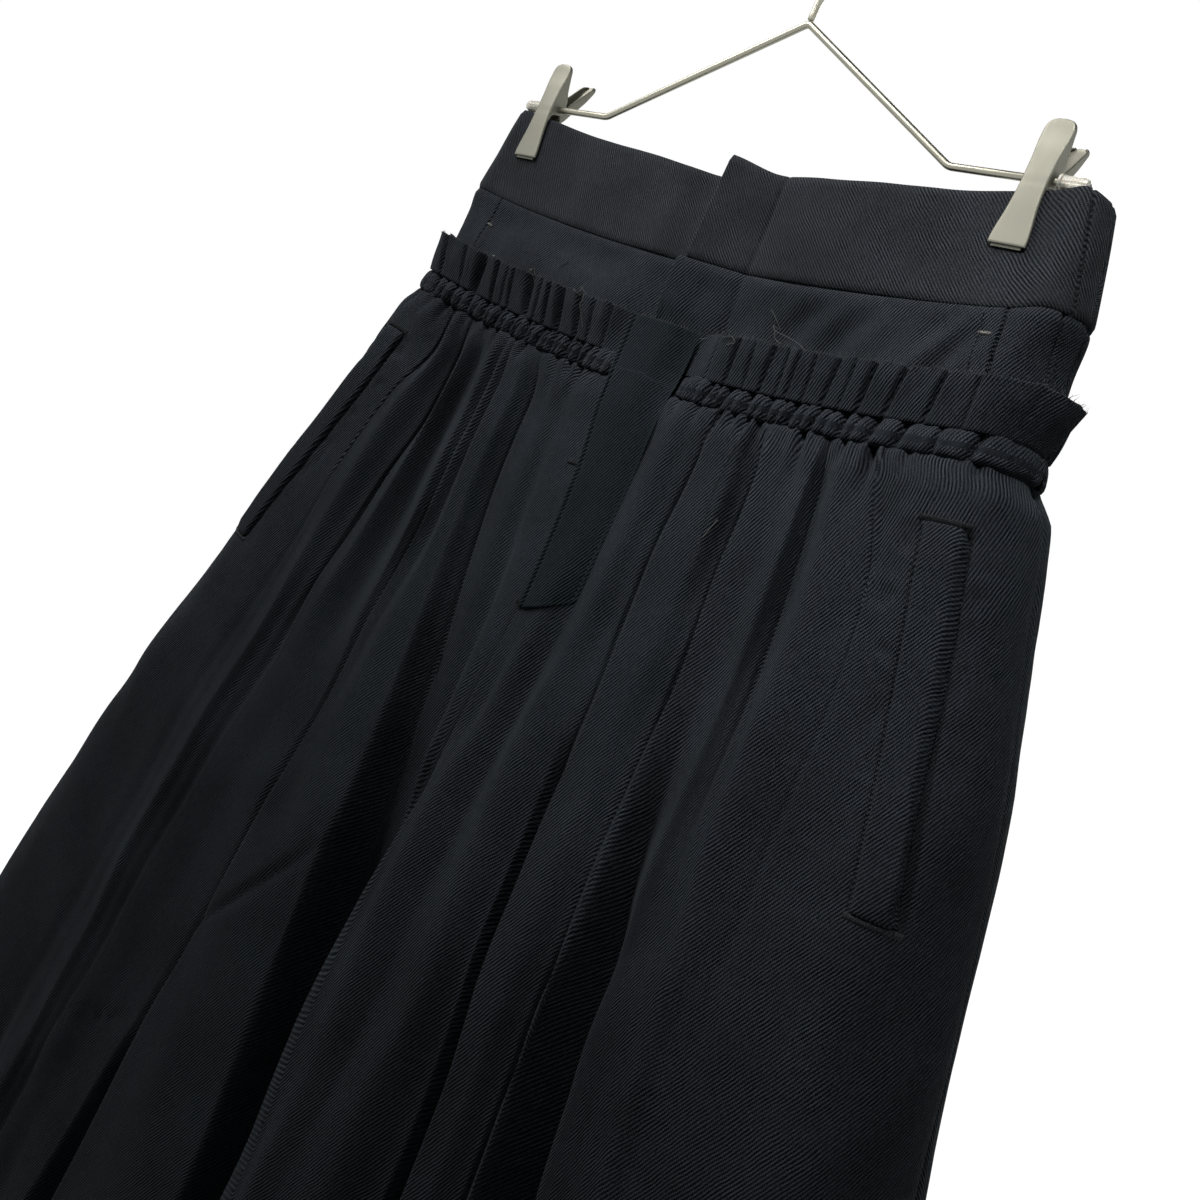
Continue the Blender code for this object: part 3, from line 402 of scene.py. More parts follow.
def sheet_piece(name, node, grid, outward, thickness, material, weave, normal=None):
    """Cloth with its outer face on the grid, its inner face a thickness in, and round edges."""
    rows, columns = grid.shape[:2]
    count = rows * columns
    normal = normals_of(grid, outward) if normal is None else normal
    turned = np.cross(grid[1, 0] - grid[0, 0], grid[0, 1] - grid[0, 0])
    flip = float(np.dot(turned, normal[0, 0])) < 0
    outer, normal, weave = grid.reshape(-1, 3), normal.reshape(-1, 3), weave.reshape(-1, 2)
    thick = np.broadcast_to(thickness, (rows, columns)).reshape(-1, 1)
    points, places = [outer, outer - normal * thick], [weave, weave]
    faces = quads(rows, columns, flip) + quads(rows, columns, not flip, count)
    number = np.arange(count).reshape(rows, columns)
    rims = (
        (number[0], grid[0] - grid[1], True), (number[-1], grid[-1] - grid[-2], False),
        (number[:, 0], grid[:, 0] - grid[:, 1], False), (number[:, -1], grid[:, -1] - grid[:, -2], True),
    )
    start = 2 * count
    for run, away, turned_over in rims:
        points.append(outer[run] - normal[run] * thick[run] / 2 + unit(away) * thick[run] * 0.4)
        places.append(weave[run])
        edge = np.arange(start, start + len(run))
        start += len(run)
        faces += strip(run, edge, flip != turned_over) + strip(edge, run + count, flip != turned_over)
    new_piece(name, node, np.concatenate(points), faces, material, np.concatenate(places))


def tubes(name, node, runs, material, sides=5):
    """One mesh of many thin round threads. Each run: points in millimetres, then its radius."""
    points, faces, places = [], [], []
    start = 0
    turn = np.linspace(0, 2 * np.pi, sides, endpoint=False)
    ring = np.arange(sides)
    for line, radius in runs:
        count = len(line)
        radius = np.broadcast_to(np.asarray(radius, float), (count,))
        tangent = unit(np.gradient(line, axis=0))
        guide = np.array((0.0, 1.0, 0.0) if abs(tangent[:, 1]).mean() < 0.8 else (1.0, 0.0, 0.0))
        one = unit(np.cross(tangent, guide))
        two = np.cross(tangent, one)
        around = one[:, None] * np.cos(turn)[None, :, None] + two[:, None] * np.sin(turn)[None, :, None]
        points.append((line[:, None] + radius[:, None, None] * around).reshape(-1, 3))
        length = np.concatenate([[0], np.cumsum(np.linalg.norm(np.diff(line, axis=0), axis=1))])
        place = np.broadcast_arrays(length[:, None], turn[None, :] * radius[:, None])
        places.append(np.stack(place, axis=-1).reshape(-1, 2))
        first = start + sides * np.arange(count - 1)[:, None]
        a, b = first + ring, first + (ring + 1) % sides
        faces += np.stack([a, b, b + sides, a + sides], axis=-1).reshape(-1, 4).tolist()
        faces += [(start + ring[::-1]).tolist(), (start + (count - 1) * sides + ring).tolist()]
        start += count * sides
    new_piece(name, node, np.concatenate(points), faces, material, np.concatenate(places))


def tree_of(grids):
    """Search tree over several grids of points, for laying pieces on them."""
    points, faces, start = [], [], 0
    for grid in grids:
        rows, columns = grid.shape[:2]
        points.append(grid.reshape(-1, 3))
        faces += quads(rows, columns, False, start)
        start += rows * columns
    return BVHTree.FromPolygons(np.concatenate(points).tolist(), faces)


# Where the rays start, well before the front, and a depth close before it
RAY_START = -400.0
NEAR_FRONT = -40.0


def lay(tree, x, level, lift):
    """Points at x and level laid on a front face, a height of lift off it, and the face's normals."""
    x, z, lift = [np.asarray(v, float) for v in np.broadcast_arrays(x, hang(x, level), lift)]
    out, normal = np.empty(x.shape + (3,)), np.empty(x.shape + (3,))
    for spot in np.ndindex(x.shape):
        place, facing = tree.ray_cast(Vector((x[spot], RAY_START, z[spot])), Vector((0, 1, 0)))[:2]
        if place is None:
            place, facing = tree.find_nearest(Vector((x[spot], NEAR_FRONT, z[spot])))[:2]
        out[spot] = place
        normal[spot] = -facing if facing.y > 0 else facing
    return out + normal * lift[..., None], normal


def smoothed(field, passes):
    """Field of vectors on a grid, averaged with its neighbours."""
    for _ in range(passes):
        padded = np.pad(field, ((1, 1), (1, 1), (0, 0)), mode="edge")
        field = (
            padded[1:-1, 1:-1] * 2 + padded[:-2, 1:-1] + padded[2:, 1:-1]
            + padded[1:-1, :-2] + padded[1:-1, 2:]
        ) / 6
    return field


# ---------------------------------------------------------------- materials


class Graph:
    """Small helper that adds shader nodes and joins them."""

    def __init__(self, name):
        self.material = bpy.data.materials.new(name)
        self.material.use_nodes = True
        self.tree = self.material.node_tree
        self.shader = self.tree.nodes["Principled BSDF"]

    def add(self, kind, inputs=(), out=0, **settings):
        node = self.tree.nodes.new("ShaderNode" + kind)
        for key, value in settings.items():
            setattr(node, key, value)
        for key, value in dict(inputs).items():
            self.put(node.inputs[key], value)
        return node.outputs[out]

    def put(self, socket, value):
        if isinstance(value, bpy.types.NodeSocket):
            self.tree.links.new(value, socket)
        else:
            socket.default_value = value

    def chain(self, operation, terms):
        total = terms[0]
        for term in terms[1:]:
            total = self.add("Math", {0: total, 1: term}, operation=operation)
        return total

    def sum(self, *terms):
        return self.chain("ADD", terms)

    def times(self, *terms):
        return self.chain("MULTIPLY", terms)

    def sine(self, value):
        return self.add("Math", {0: value}, operation="SINE")

    def stretched(self, vector, factors):
        return self.add("VectorMath", {0: vector, 1: factors}, operation="MULTIPLY")

    def scaled(self, colour, factor):
        return self.add("VectorMath", {0: colour, "Scale": factor}, operation="SCALE")

    def relief(self, strength, distance, height):
        return self.add("Bump", {"Strength": strength, "Distance": distance, "Height": height})

    def ranged(self, value, low, high, new_low, new_high):
        limits = {"From Min": low, "From Max": high, "To Min": new_low, "To Max": new_high}
        return self.add("MapRange", {"Value": value, **limits})

    def on_weave(self):
        """Place on the flat cloth, and its two parts: across it and along it."""
        place = self.add("UVMap", uv_map="weave")
        split = self.tree.nodes.new("ShaderNodeSeparateXYZ")
        self.put(split.inputs[0], place)
        return place, split.outputs[0], split.outputs[1]

    def noise(self, vector, scale, detail=2.0, rough=0.5):
        form = {"Scale": scale, "Detail": detail, "Roughness": rough}
        return self.add("TexNoise", {"Vector": vector, **form})

    def mixed(self, share, one, other):
        node = self.tree.nodes.new("ShaderNodeMix")
        node.data_type = "RGBA"
        self.put(node.inputs["Factor"], share)
        self.put(node.inputs[6], one)
        self.put(node.inputs[7], other)
        return node.outputs[2]

    def surface(self, **values):
        for key, value in values.items():
            self.put(self.shader.inputs[key.replace("_", " ")], value)
        return self.material


def twill(name, slant, pitch, dark, light, relief):
    """Twill cloth: slanting wales of floating yarns, with slubs, soft wear and a little lint. The wales'
    dark and light colours also paint shade into the grooves and a glint onto the floating yarns.
    """
    g = Graph(name)
    across, up = slant
    place, u, v = g.on_weave()
    wander = g.ranged(g.noise(place, 70.0, 2.0), 0.3, 0.7, -0.00035, 0.00035)
    cross = g.sum(g.times(u, up), g.times(v, -across), wander)
    along = g.sum(g.times(u, across), g.times(v, up))
    wale = g.ranged(g.sine(g.times(cross, 2 * math.pi / pitch)), -0.9, 0.9, 0.0, 1.0)
    floats = g.sum(g.times(along, 2 * math.pi / (pitch * 0.62)), g.times(cross, 3.1 / pitch))
    yarn = g.ranged(g.sine(floats), -1, 1, 0, 1)
    slub = g.noise(g.stretched(place, (1.0, 0.16, 1.0)), 1400.0, 3.0, 0.6)
    broad = g.noise(place, 24.0, 3.0, 0.55)
    patch = g.ranged(g.noise(place, 260.0, 2.0, 0.6), 0.3, 0.7, 0.0, 1.0)
    fuzz = g.noise(place, 1500.0, 3.0, 0.75)
    height = g.sum(g.times(wale, 0.8), g.times(yarn, g.times(wale, 0.28)), g.times(slub, 0.3),
                   g.times(fuzz, 0.35))
    worn = g.ranged(g.noise(place, 75.0, 2.0, 0.5), 0.38, 0.62, 0.35, 1.0)
    clear = g.times(g.ranged(patch, 0.0, 1.0, 0.30, 0.95), worn)
    # The mix from the dark to the light colour paints shade into the grooves between the wales and a glint
    # onto the floating yarns, on top of the yarns' own tone.
    yarn_tone_and_painted_shade = g.sum(g.times(g.sum(wale, -0.5), clear), g.times(slub, 0.55), g.times(yarn, 0.22),
                        g.times(fuzz, 1.25))
    colour = g.mixed(g.ranged(yarn_tone_and_painted_shade, 0.68, 1.62, 0.0, 1.0), dark + (1.0,), light + (1.0,))
    return g.surface(
        Base_Color=g.scaled(colour, g.ranged(broad, 0.3, 0.7, 0.84, 1.16)),
        Roughness=g.ranged(height, 0.2, 1.2, 0.92, 0.74), Normal=g.relief(0.75, relief, height),
        Specular_IOR_Level=0.02, Sheen_Weight=0.05, Sheen_Roughness=0.45,
        Sheen_Tint=(0.62, 0.74, 0.78, 1.0),
    )


def thread(name, colour):
    """Spun thread with its twist."""
    g = Graph(name)
    place, u, v = g.on_weave()
    twist = g.sine(g.sum(g.times(u, 9000.0), g.times(v, 4000.0)))
    fibre = g.noise(place, 5200.0, 2.0, 0.6)
    shade = g.ranged(g.sum(g.times(twist, 0.25), fibre), 0.2, 1.0, 0.55, 1.4)
    return g.surface(Base_Color=g.scaled(colour, shade), Roughness=0.75, Specular_IOR_Level=0.05,
                     Sheen_Weight=0.1, Normal=g.relief(0.4, 0.0001, twist))


def satin_metal(name, colour, rough, along):
    """Brushed nickel plate: fine grain along one direction, faint stains and fine pits."""
    g = Graph(name)
    place = g.add("TexCoord", out=3)
    grain = g.noise(g.stretched(place, along), 900.0, 3.0, 0.6)
    stain = g.noise(place, 90.0, 3.0, 0.6)
    pit = g.noise(place, 2600.0, 2.0, 0.5)
    tone = g.sum(g.ranged(grain, 0.3, 0.7, 0.985, 1.015), g.ranged(stain, 0.3, 0.7, -0.02, 0.02))
    roughness = g.sum(g.ranged(stain, 0.3, 0.7, rough - 0.05, rough + 0.05),
                      g.ranged(grain, 0.3, 0.7, -0.04, 0.04))
    height = g.sum(g.times(grain, 0.6), g.times(pit, 0.4))
    return g.surface(Base_Color=g.scaled(colour, tone), Metallic=1.0, Roughness=roughness,
                     Normal=g.relief(0.10, 0.00003, height))


def clear_plastic(name):
    """Milky clear plastic with faint flow marks and scuffs."""
    g = Graph(name)
    place = g.add("TexCoord", out=3)
    flow = g.noise(g.stretched(place, (0.3, 1.0, 1.0)), 260.0, 3.0, 0.6)
    colour = g.mixed(g.ranged(flow, 0.3, 0.7, 0.0, 1.0), (0.62, 0.61, 0.52, 1.0), (0.80, 0.79, 0.72, 1.0))
    scuff = g.noise(place, 1500.0, 2.0, 0.6)
    return g.surface(
        Base_Color=colour, Roughness=g.ranged(scuff, 0.3, 0.7, 0.22, 0.34),
        Normal=g.relief(0.05, 0.00002, scuff), Transmission_Weight=0.35, IOR=1.40,
        Subsurface_Weight=0.1, Subsurface_Scale=0.004,
    )


WALE = (0.47, 0.883)
BODY_PITCH = 0.00142
BODY_RELIEF = 0.00062
# The body's dark yarn colour, which also stands for the painted shade in the twill's grooves
BODY_DARK_YARN_AND_GROOVE_SHADE = (0.0008, 0.0020, 0.0036)
BODY_CLOTH = twill("body_twill", WALE, BODY_PITCH, BODY_DARK_YARN_AND_GROOVE_SHADE, (0.076, 0.087, 0.103), BODY_RELIEF)
BAND_TWILL = twill("band_twill", (0.700, -0.714), 0.00126, (0.0036, 0.0050, 0.0064),
                   (0.073, 0.081, 0.093), 0.00036)
# The fly's twill is the body's with a darker light yarn: painted shade over the fly.
FLY_SHADED_CLOTH = twill("fly_twill_painted_shade", WALE, BODY_PITCH, BODY_DARK_YARN_AND_GROOVE_SHADE, (0.045, 0.058, 0.067), BODY_RELIEF)
SEWING = thread("sewing_thread", (0.016, 0.018, 0.021))
FRAY = thread("fray_yarn", (0.055, 0.061, 0.066))
LINT = thread("loose_yarn", (0.13, 0.135, 0.13))
PALE_LINT = thread("bartack_thread", (0.26, 0.26, 0.24))
NICKEL = satin_metal("satin_nickel_plate", (0.19, 0.19, 0.158), 0.55, (1.0, 1.0, 0.15))
WIRE_NICKEL = satin_metal("satin_nickel_wire", (0.30, 0.295, 0.24), 0.36, (0.1, 1.0, 1.0))
PLASTIC = clear_plastic("milky_plastic")


# ---------------------------------------------------------------- leg panels


def sewn_in(levels):
    """At the casing the folds close up, and the panel's edge turns in behind it."""
    open_share = 0.45 + 0.55 * ease((CASING_BOTTOM - levels) / 12.0)
    behind = 3.0 * ease(1 - (TUCK_IN - levels) / 3.6)
    return open_share, behind


# The panels' rows stand closer together above these levels
GATHERS_LOW = -246.0
WRINKLES_LOW = -330.0
FOLDS_LOW = -700.0


def panel_levels(fine):
    """Levels of a panel's rows, from the casing to the hem."""
    top = np.arange(TUCK_IN, GATHERS_LOW, -1.1)
    top = np.concatenate([top, np.arange(GATHERS_LOW - 0.5, WRINKLES_LOW, -2.0 * fine)])
    middle = np.arange(top[-1] - 4.0 * fine, FOLDS_LOW, -4.0 * fine)
    low = np.linspace(middle[-1] - 7.0 * fine, HEM_STITCH + 4.5, int(380 / (7.5 * fine)))
    hem = HEM_STITCH + np.array((1.6, 0.8, 0.0, -0.8, -1.6, -4.5))
    return np.concatenate([top, middle, low, hem, np.linspace(HEM_STITCH - 9.0, HEM, 4)])


def hem_turned(levels):
    """The hem: a stitched line that pulls the cloth in, and below it the cloth that is turned up inside."""
    pulled = 0.9 * np.exp(-((levels - HEM_STITCH) / 0.8) ** 2)
    return pulled, PANEL_THICK + 0.9 * ease((HEM_STITCH - levels) / 2.0)


# Half width of a crease by level, for the creases that fade into soft troughs on the way down
FADING = ("valley_e", "valley_f", "valley_i", "valley_j")
FADING_HALF = (1.5, 1.5, 1.5, 2.0, 3.5, 6.0, 9.0, 10.0, 11.0, 11.0, 11.0, 11.0, 11.0)


CREASE_HALF = 1.5
CREASE_LIP = 3.4


def with_cuts(folds):
    """Fold lines with a shoulder on each side of every sharp crease, so that its bottom is narrow."""
    rows = []
    for name, sharp, at, deep in folds:
        deep = np.atleast_1d(np.array(deep, float))
        deep = np.pad(deep, (0, len(at) - len(deep)), mode="edge")
        rows.append((name, sharp, np.array(at, float), deep))
    out = []
    for k, (name, sharp, at, deep) in enumerate(rows):
        if sharp < 0.95 or not 0 < k < len(rows) - 1:
            out.append((sharp, at, deep))
            continue
        fades = name in FADING
        wide = np.array(FADING_HALF) if fades else CREASE_HALF
        near = np.minimum(wide, 0.45 * (at - rows[k - 1][2]))
        far = np.minimum(wide, 0.45 * (rows[k + 1][2] - at))
        lip = deep - np.clip(0.6 * deep, 0.3, CREASE_LIP)
        out += [
            (0.0, at - near, np.maximum(lip, rows[k - 1][3])), (0.2 if fades else 0.6, at, deep),
            (0.0, at + far, np.maximum(lip, rows[k + 1][3])),
        ]
    return out


SEAM_STEPS = 6


def fold_grid(side, front, seam_x, seam_turn, folds, levels):
    """Points of half a panel from the centre seam to the side seam, and their distances."""
    def section(at, inward):
        return np.stack(girth_points(at, inward, levels, front), -1)

    width, middle, depth = silhouette(levels)
    sign = -1.0 if front else 1.0
    fold_levels = DRAPE_LEVELS if front else FOLD_LEVELS
    folds = with_cuts(folds)
    distance, deep = [curve(fold_levels, np.array([row[k] for row in folds]).T, levels) for k in (1, 2)]
    open_share, behind = sewn_in(levels)
    deep = deep * open_share[:, None] + behind[:, None]
    sharp = [row[0] for row in folds] + [0.0, 0.0]

    # from the centre seam, at its own depth and turn, in one curve to the first fold line
    start = curve(FOLD_LEVELS, seam_x, levels) + GAP / 2
    recess = np.minimum(curve(FOLD_LEVELS, SEAM_DEPTH, levels) + behind, depth - GAP / 2)
    turn = np.radians(curve(FOLD_LEVELS, seam_turn, levels))
    origin = np.stack([start, middle + sign * (depth - recess)], -1)
    first = section(distance[:, 0], deep[:, 0])
    reach = 0.45 * np.linalg.norm(first - origin, axis=1, keepdims=True)
    one = origin + np.stack([np.cos(turn), sign * np.sin(turn)], -1) * reach
    ahead = section(distance[:, 0] + 0.35 * (distance[:, 1] - distance[:, 0]),
                    deep[:, 0] + 0.1 * (deep[:, 1] - deep[:, 0])) - first
    two = first - ahead / np.linalg.norm(ahead, axis=1, keepdims=True) * reach
    columns, spots = [], []
    for t in np.arange(SEAM_STEPS) / SEAM_STEPS:
        columns.append(
            origin * (1 - t) ** 3 + one * 3 * t * (1 - t) ** 2 + two * 3 * t * t * (1 - t) + first * t ** 3
        )
        spots.append(start * (1 - t) + distance[:, 0] * t)

    # then from fold line to fold line, and round to the side seam
    end = half_girth(levels)
    lines = [(distance[:, j], deep[:, j]) for j in range(distance.shape[1])]
    lines += [(end - 3.0, behind), (end, behind + 1.2)]
    for j, ((at, inward), (next_at, next_inward)) in enumerate(zip(lines, lines[1:])):
        gap = float(np.median(next_at - at))
        count = 3 if gap < 3.0 else int(np.clip(round(gap / 1.6), 4, 16))
        for t in np.arange(count) / count:
            bend = sharp[j] * 1.5 * (t ** 3 - 2 * t * t + t) + sharp[j + 1] * 1.5 * (t ** 3 - t * t)
            share = np.clip(3 * t * t - 2 * t ** 3 + bend, 0, 1)
            spots.append(at + (next_at - at) * t)
            columns.append(section(spots[-1], inward + (next_inward - inward) * share))
    columns.append(np.stack([width - 1.2 - behind, middle + sign * GAP / 2], -1))
    spots.append(end)
    flat = np.stack(columns, axis=1)
    return placed(flat[..., 0], flat[..., 1], levels[:, None], side), np.stack(spots, axis=1)


def gathered(spots, levels, table):
    """Depth of the small gathers that start under the casing."""
    depth = np.zeros_like(spots)
    for top, end, length, deep, width in table:
        t = np.clip((CASING_BOTTOM - levels[:, None]) / length, 0, 1)
        apart = np.abs(spots - top - (end - top) * t) / (width * 0.5 * (1 + 0.7 * t))
        form = 1.35 * np.exp(-apart ** 1.2 * 2.1) - 0.45 * np.exp(-(apart - 1.5) ** 2 * 2)
        depth += 1.6 * deep * (1 - t) ** 1.3 * form
    under = ease((TUCK_IN - 1.5 - levels) / 3.5) * ease(1 - (CASING_BOTTOM - 2.0 - levels) / 26.0)
    return depth - 1.6 * under[:, None]


def crumpled(spots, levels, seed):
    """Low unevenness of hanging cloth: long soft swells, finer ones near the casing."""
    fall = levels[:, None]
    broad = swell(spots / 34.0 + 7, -fall / 150.0 + 3, seed) * 1.3
    middle = 2.0 * swell(spots / 26.0 + 17, -fall / 52.0 + 2, seed + 5) * ease((-260.0 - fall) / 120.0)
    finer = swell(spots / 13.0 + 11, -fall / 60.0 + 5, seed + 1) * 0.55
    small = swell(spots / 6.0 + 2, -fall / 18.0 + 9, seed + 2) * 0.22
    near = 0.5 + 0.9 * ease(1 - (CASING_BOTTOM - fall) / 160.0)
    return broad + middle + (finer + small) * near


def tucked(spots, levels, marks):
    """Single short wrinkles. Each: distance, level, length, slant in mm, width, depth."""
    depth = np.zeros_like(spots)
    for distance, level, length, slant, width, deep in marks:
        t = (levels[:, None] - level) / (length / 2)
        depth += deep * bell(t, 0, 1, 3) * bell(spots, distance + slant * t / 2, width, 1.5)
    return depth


def on_cloth(grid, spots, levels):
    """Each point's place across the flat cloth: true at the centre seam and at the side seam."""
    extra = arc(grid) - spots
    whole = int(np.argmax(levels < CASING_BOTTOM - 24.0))
    extra[:whole] = extra[whole]
    steady = int(np.argmax(levels < -300.0))
    extra[steady:] = extra[steady]
    place = spots + extra
    total = place[:, -1:].copy()
    total[steady:] = total[steady]
    return place - (total - total[whole]) * ease(spots / spots[:, -1:])


def welt_line(fall):
    """Level of the pocket's welt and distance of its inner edge, from its top (0) to its foot (1)."""
    level = WELT_TOP + (WELT_LOW - WELT_TOP) * fall
    return level, WELT_INNER_TOP + (WELT_INNER_LOW - WELT_INNER_TOP) * fall


def pocket_cuts(spots, levels):
    """The slit along a welt's outer edge, the seam on its inner edge, and the pull of both."""
    fall = ((WELT_TOP - levels) / (WELT_TOP - WELT_LOW))[:, None]
    inner = welt_line(fall)[1]
    outer = inner + WELT_WIDTH + 0.4 * np.clip(fall, 0, 1)
    inside = ease((fall + 0.012) / 0.03) * ease((1.012 - fall) / 0.03)
    slit = 6.5 * bell(spots, outer + 1.6, 1.9, 2.4)
    seam = 2.6 * bell(spots, inner - 0.5, 0.9)
    pucker = np.clip(swell(spots / 9.0 + 31, levels[:, None] / 7.5 + 40, 77), 0, 1)
    beside = bell(spots, inner - 6.5, 5.0) + bell(spots, outer + 8, 4.5)
    return (slit + seam + 2.1 * pucker * beside) * inside


def make_panel(name, side, seam_x, seam_turn, folds, gathers, marks, seed, fine):
    """One panel of a leg; gives back its outer face."""
    front = "front" in name
    outward = -1 if front else 1
    levels = panel_levels(fine)
    grid, spots = fold_grid(side, front, seam_x, seam_turn, folds, levels)
    weave = np.stack([side * on_cloth(grid, spots, levels), levels[:, None] + 0 * spots], axis=-1)
    inward = gathered(spots, levels, gathers) + crumpled(spots, levels, seed) + tucked(spots, levels, marks)
    if front:
        inward += pocket_cuts(spots, levels)
    calm = ease(spots / 10.0) * ease((half_girth(levels)[:, None] - spots) / 8.0)
    calm = calm * ease((TUCK_IN - levels[:, None]) / 5.0)
    pulled, thick = hem_turned(levels[:, None])
    grid = grid - smoothed(normals_of(grid, outward), 2) * (inward * calm + pulled)[..., None]
    sheet_piece("panel_" + name, "leg_" + name, grid, outward, thick, BODY_CLOTH, weave)
    return grid


# Short wrinkles of the front panels: distance, level, length, slant, width, depth
MARKS_RIGHT = (
    (166, -278, 44, -17, 3.0, 1.4), (88, -282, 40, -8, 2.2, 0.9), (176, -286, 10, -6, 3.0, 0.8),
    (179, -301, 10, -7, 3.2, 0.8), (182, -317, 12, -8, 3.4, 0.8), (149, -372, 60, -16, 3.5, 0.8),
    (120, -330, 60, -10, 4.0, 0.6),
)
MARKS_LEFT = (
    (71, -568, 80, -60, 3.4, 3.0), (158, -706, 42, -62, 4.0, 2.4), (212, -432, 10, -24, 3.5, 1.0),
    (222, -452, 8, -34, 3.0, 1.2),
)
# The four panels: name, side, the centre seam, the folds, gathers and wrinkles, seed, coarseness
PANELS = (
    ("front_right", 1, SEAM_RIGHT_X, FRONT_TURN_RIGHT,
     FRONT_RIGHT_FOLDS, GATHERS_RIGHT, MARKS_RIGHT, 11, 1.0),
    ("front_left", -1, SEAM_LEFT_X, FRONT_TURN_LEFT,
     FRONT_LEFT_FOLDS, GATHERS_LEFT, MARKS_LEFT, 23, 1.0),
    ("back_right", 1, SEAM_RIGHT_X, BACK_TURN, BACK_FOLDS, GATHERS_BACK, (), 37, 1.6),
    ("back_left", -1, SEAM_LEFT_X, BACK_TURN, BACK_FOLDS, GATHERS_BACK, (), 41, 1.6),
)


def raised(grid):
    """A panel's top row carried straight up, so that pieces can be laid over the casing's level."""
    rows = np.repeat(grid[:1], 11, axis=0)
    rows[..., 2] += np.linspace(LAID_TOP, CASING_BOTTOM, 12)[:-1, None] - CASING_BOTTOM
    return np.concatenate([rows, grid])


# ---------------------------------------------------------------- waist pieces


def both_sides(make):
    """A back grid from side seam to side seam out of one function of the side."""
    left, right = make(-1), make(1)
    return np.concatenate([left[:, ::-1], right[:, 1:]], axis=1)


def weave_of(grid, levels):
    return np.stack(np.broadcast_arrays(arc(grid), levels[:, None] * 1.0), axis=-1)


def under_lap(distance, thick):
    """How far the lower half steps back under the upper one."""
    return (thick + 2 * GAP) * ease((34 - distance) / 22)


def lap_rise(distance, start):
    """How far the upper half stands off where it laps over the lower one."""
    return 9.0 * np.clip((start - distance) / 37.0, 0, 1)


def seam_turned(distance, level):
    """The cloth turns in at a side seam."""
    return ease(1 - (half_girth(level) - distance) / 2.6)


NEAR_SEAM = np.array((0.0, 0.35, 0.7, 1.1, 1.7, 2.6, 4.0))


def seamed(knots):
    """Columns of a piece from edge to edge, level by level, close together beside each seam.

    knots: the distances of the left edge, of each seam and of the right edge, one array for each."""
    total = float((knots[-1] - knots[0]).mean())
    parts = []
    for k in range(len(knots) - 1):
        reach = float((knots[k + 1] - knots[k]).mean())
        steps = max(3, int(round(STRIP_COLUMNS * reach / total)))
        lead = NEAR_SEAM if k else NEAR_SEAM[:1]
        tail = NEAR_SEAM if k < len(knots) - 2 else NEAR_SEAM[:1]
        between = np.linspace(lead[-1], reach - tail[-1], steps)
        inner = np.concatenate([lead[:-1], between, (reach - tail[:-1])[::-1]]) / reach
        inner = inner if k == len(knots) - 2 else inner[:-1]
        parts.append(knots[k][:, None] + (knots[k + 1] - knots[k])[:, None] * inner[None, :])
    return np.concatenate(parts, axis=1)


def ridge_and_groove(distance, seam_at, deep, high):
    """A seam: a thin groove beside the cloth that is turned under and stands up on one side of it."""
    off = distance - seam_at[:, None]
    return deep * bell(off, 0.5, 0.62) - high * ease((off + 7.0) / 3.0) * ease((0.5 - off) / 0.8)


def flare(distance):
    """How much further the waist's right end stands out than the left one."""
    return 4.2 * ease((distance - 146.0) / 48.0)


def arched(distance):
    """The right side: the band's lower seam rises between the yoke's seam and the side seam."""
    return SIDE_ARCH * bell(distance, 181.0, 9.0)


def band_seam(level):
    """Distance of the right band's seam near the side."""
    return 178.8 + (BAND_TOP - level) * 0.28


def yoke_seams(drop):
    """Distances of the right yoke's two seams, at a drop below the band."""
    return 168.2 + drop * 0.24, 190.5 + drop * 0.36


def yoke_flare(drop):
    return 0.75 * ease(1 - drop / 24.0)


def waist_front(name, node, side, distance, level, recess, lift, flare_share, thick, material):
    """Half of a waist piece on the front, from its edge to the side seam; gives back its outer face."""
    x, y = girth_points(np.abs(distance), recess + seam_turned(distance, level), level, True)
    grid = placed(np.copysign(x, distance), y, level, side)
    grid[..., 2] += lift
    if side > 0:
        grid[..., 0] += flare(distance) * flare_share
    weave = np.stack([side * distance, level + 0 * distance], axis=-1)
    sheet_piece(name, node, grid, -1, thick, material, weave)
    return grid


def waist_back(name, node, levels, columns, recess_of, flare_share, thick, material):
    """A waist piece on the back, from side seam to side seam, as far in as recess_of says."""
    level = levels[:, None]

    def half(side):
        distance = half_girth(level) * np.linspace(0, 1, columns)
        recess = recess_of(distance, side) + seam_turned(distance, level)
        grid = placed(*girth_points(distance, recess, level, False), level, side)
        if side > 0:
            grid[..., 0] += flare(distance) * flare_share
        return grid

    grid = both_sides(half)
    sheet_piece(name, node, grid, 1, thick, material, weave_of(grid, levels))


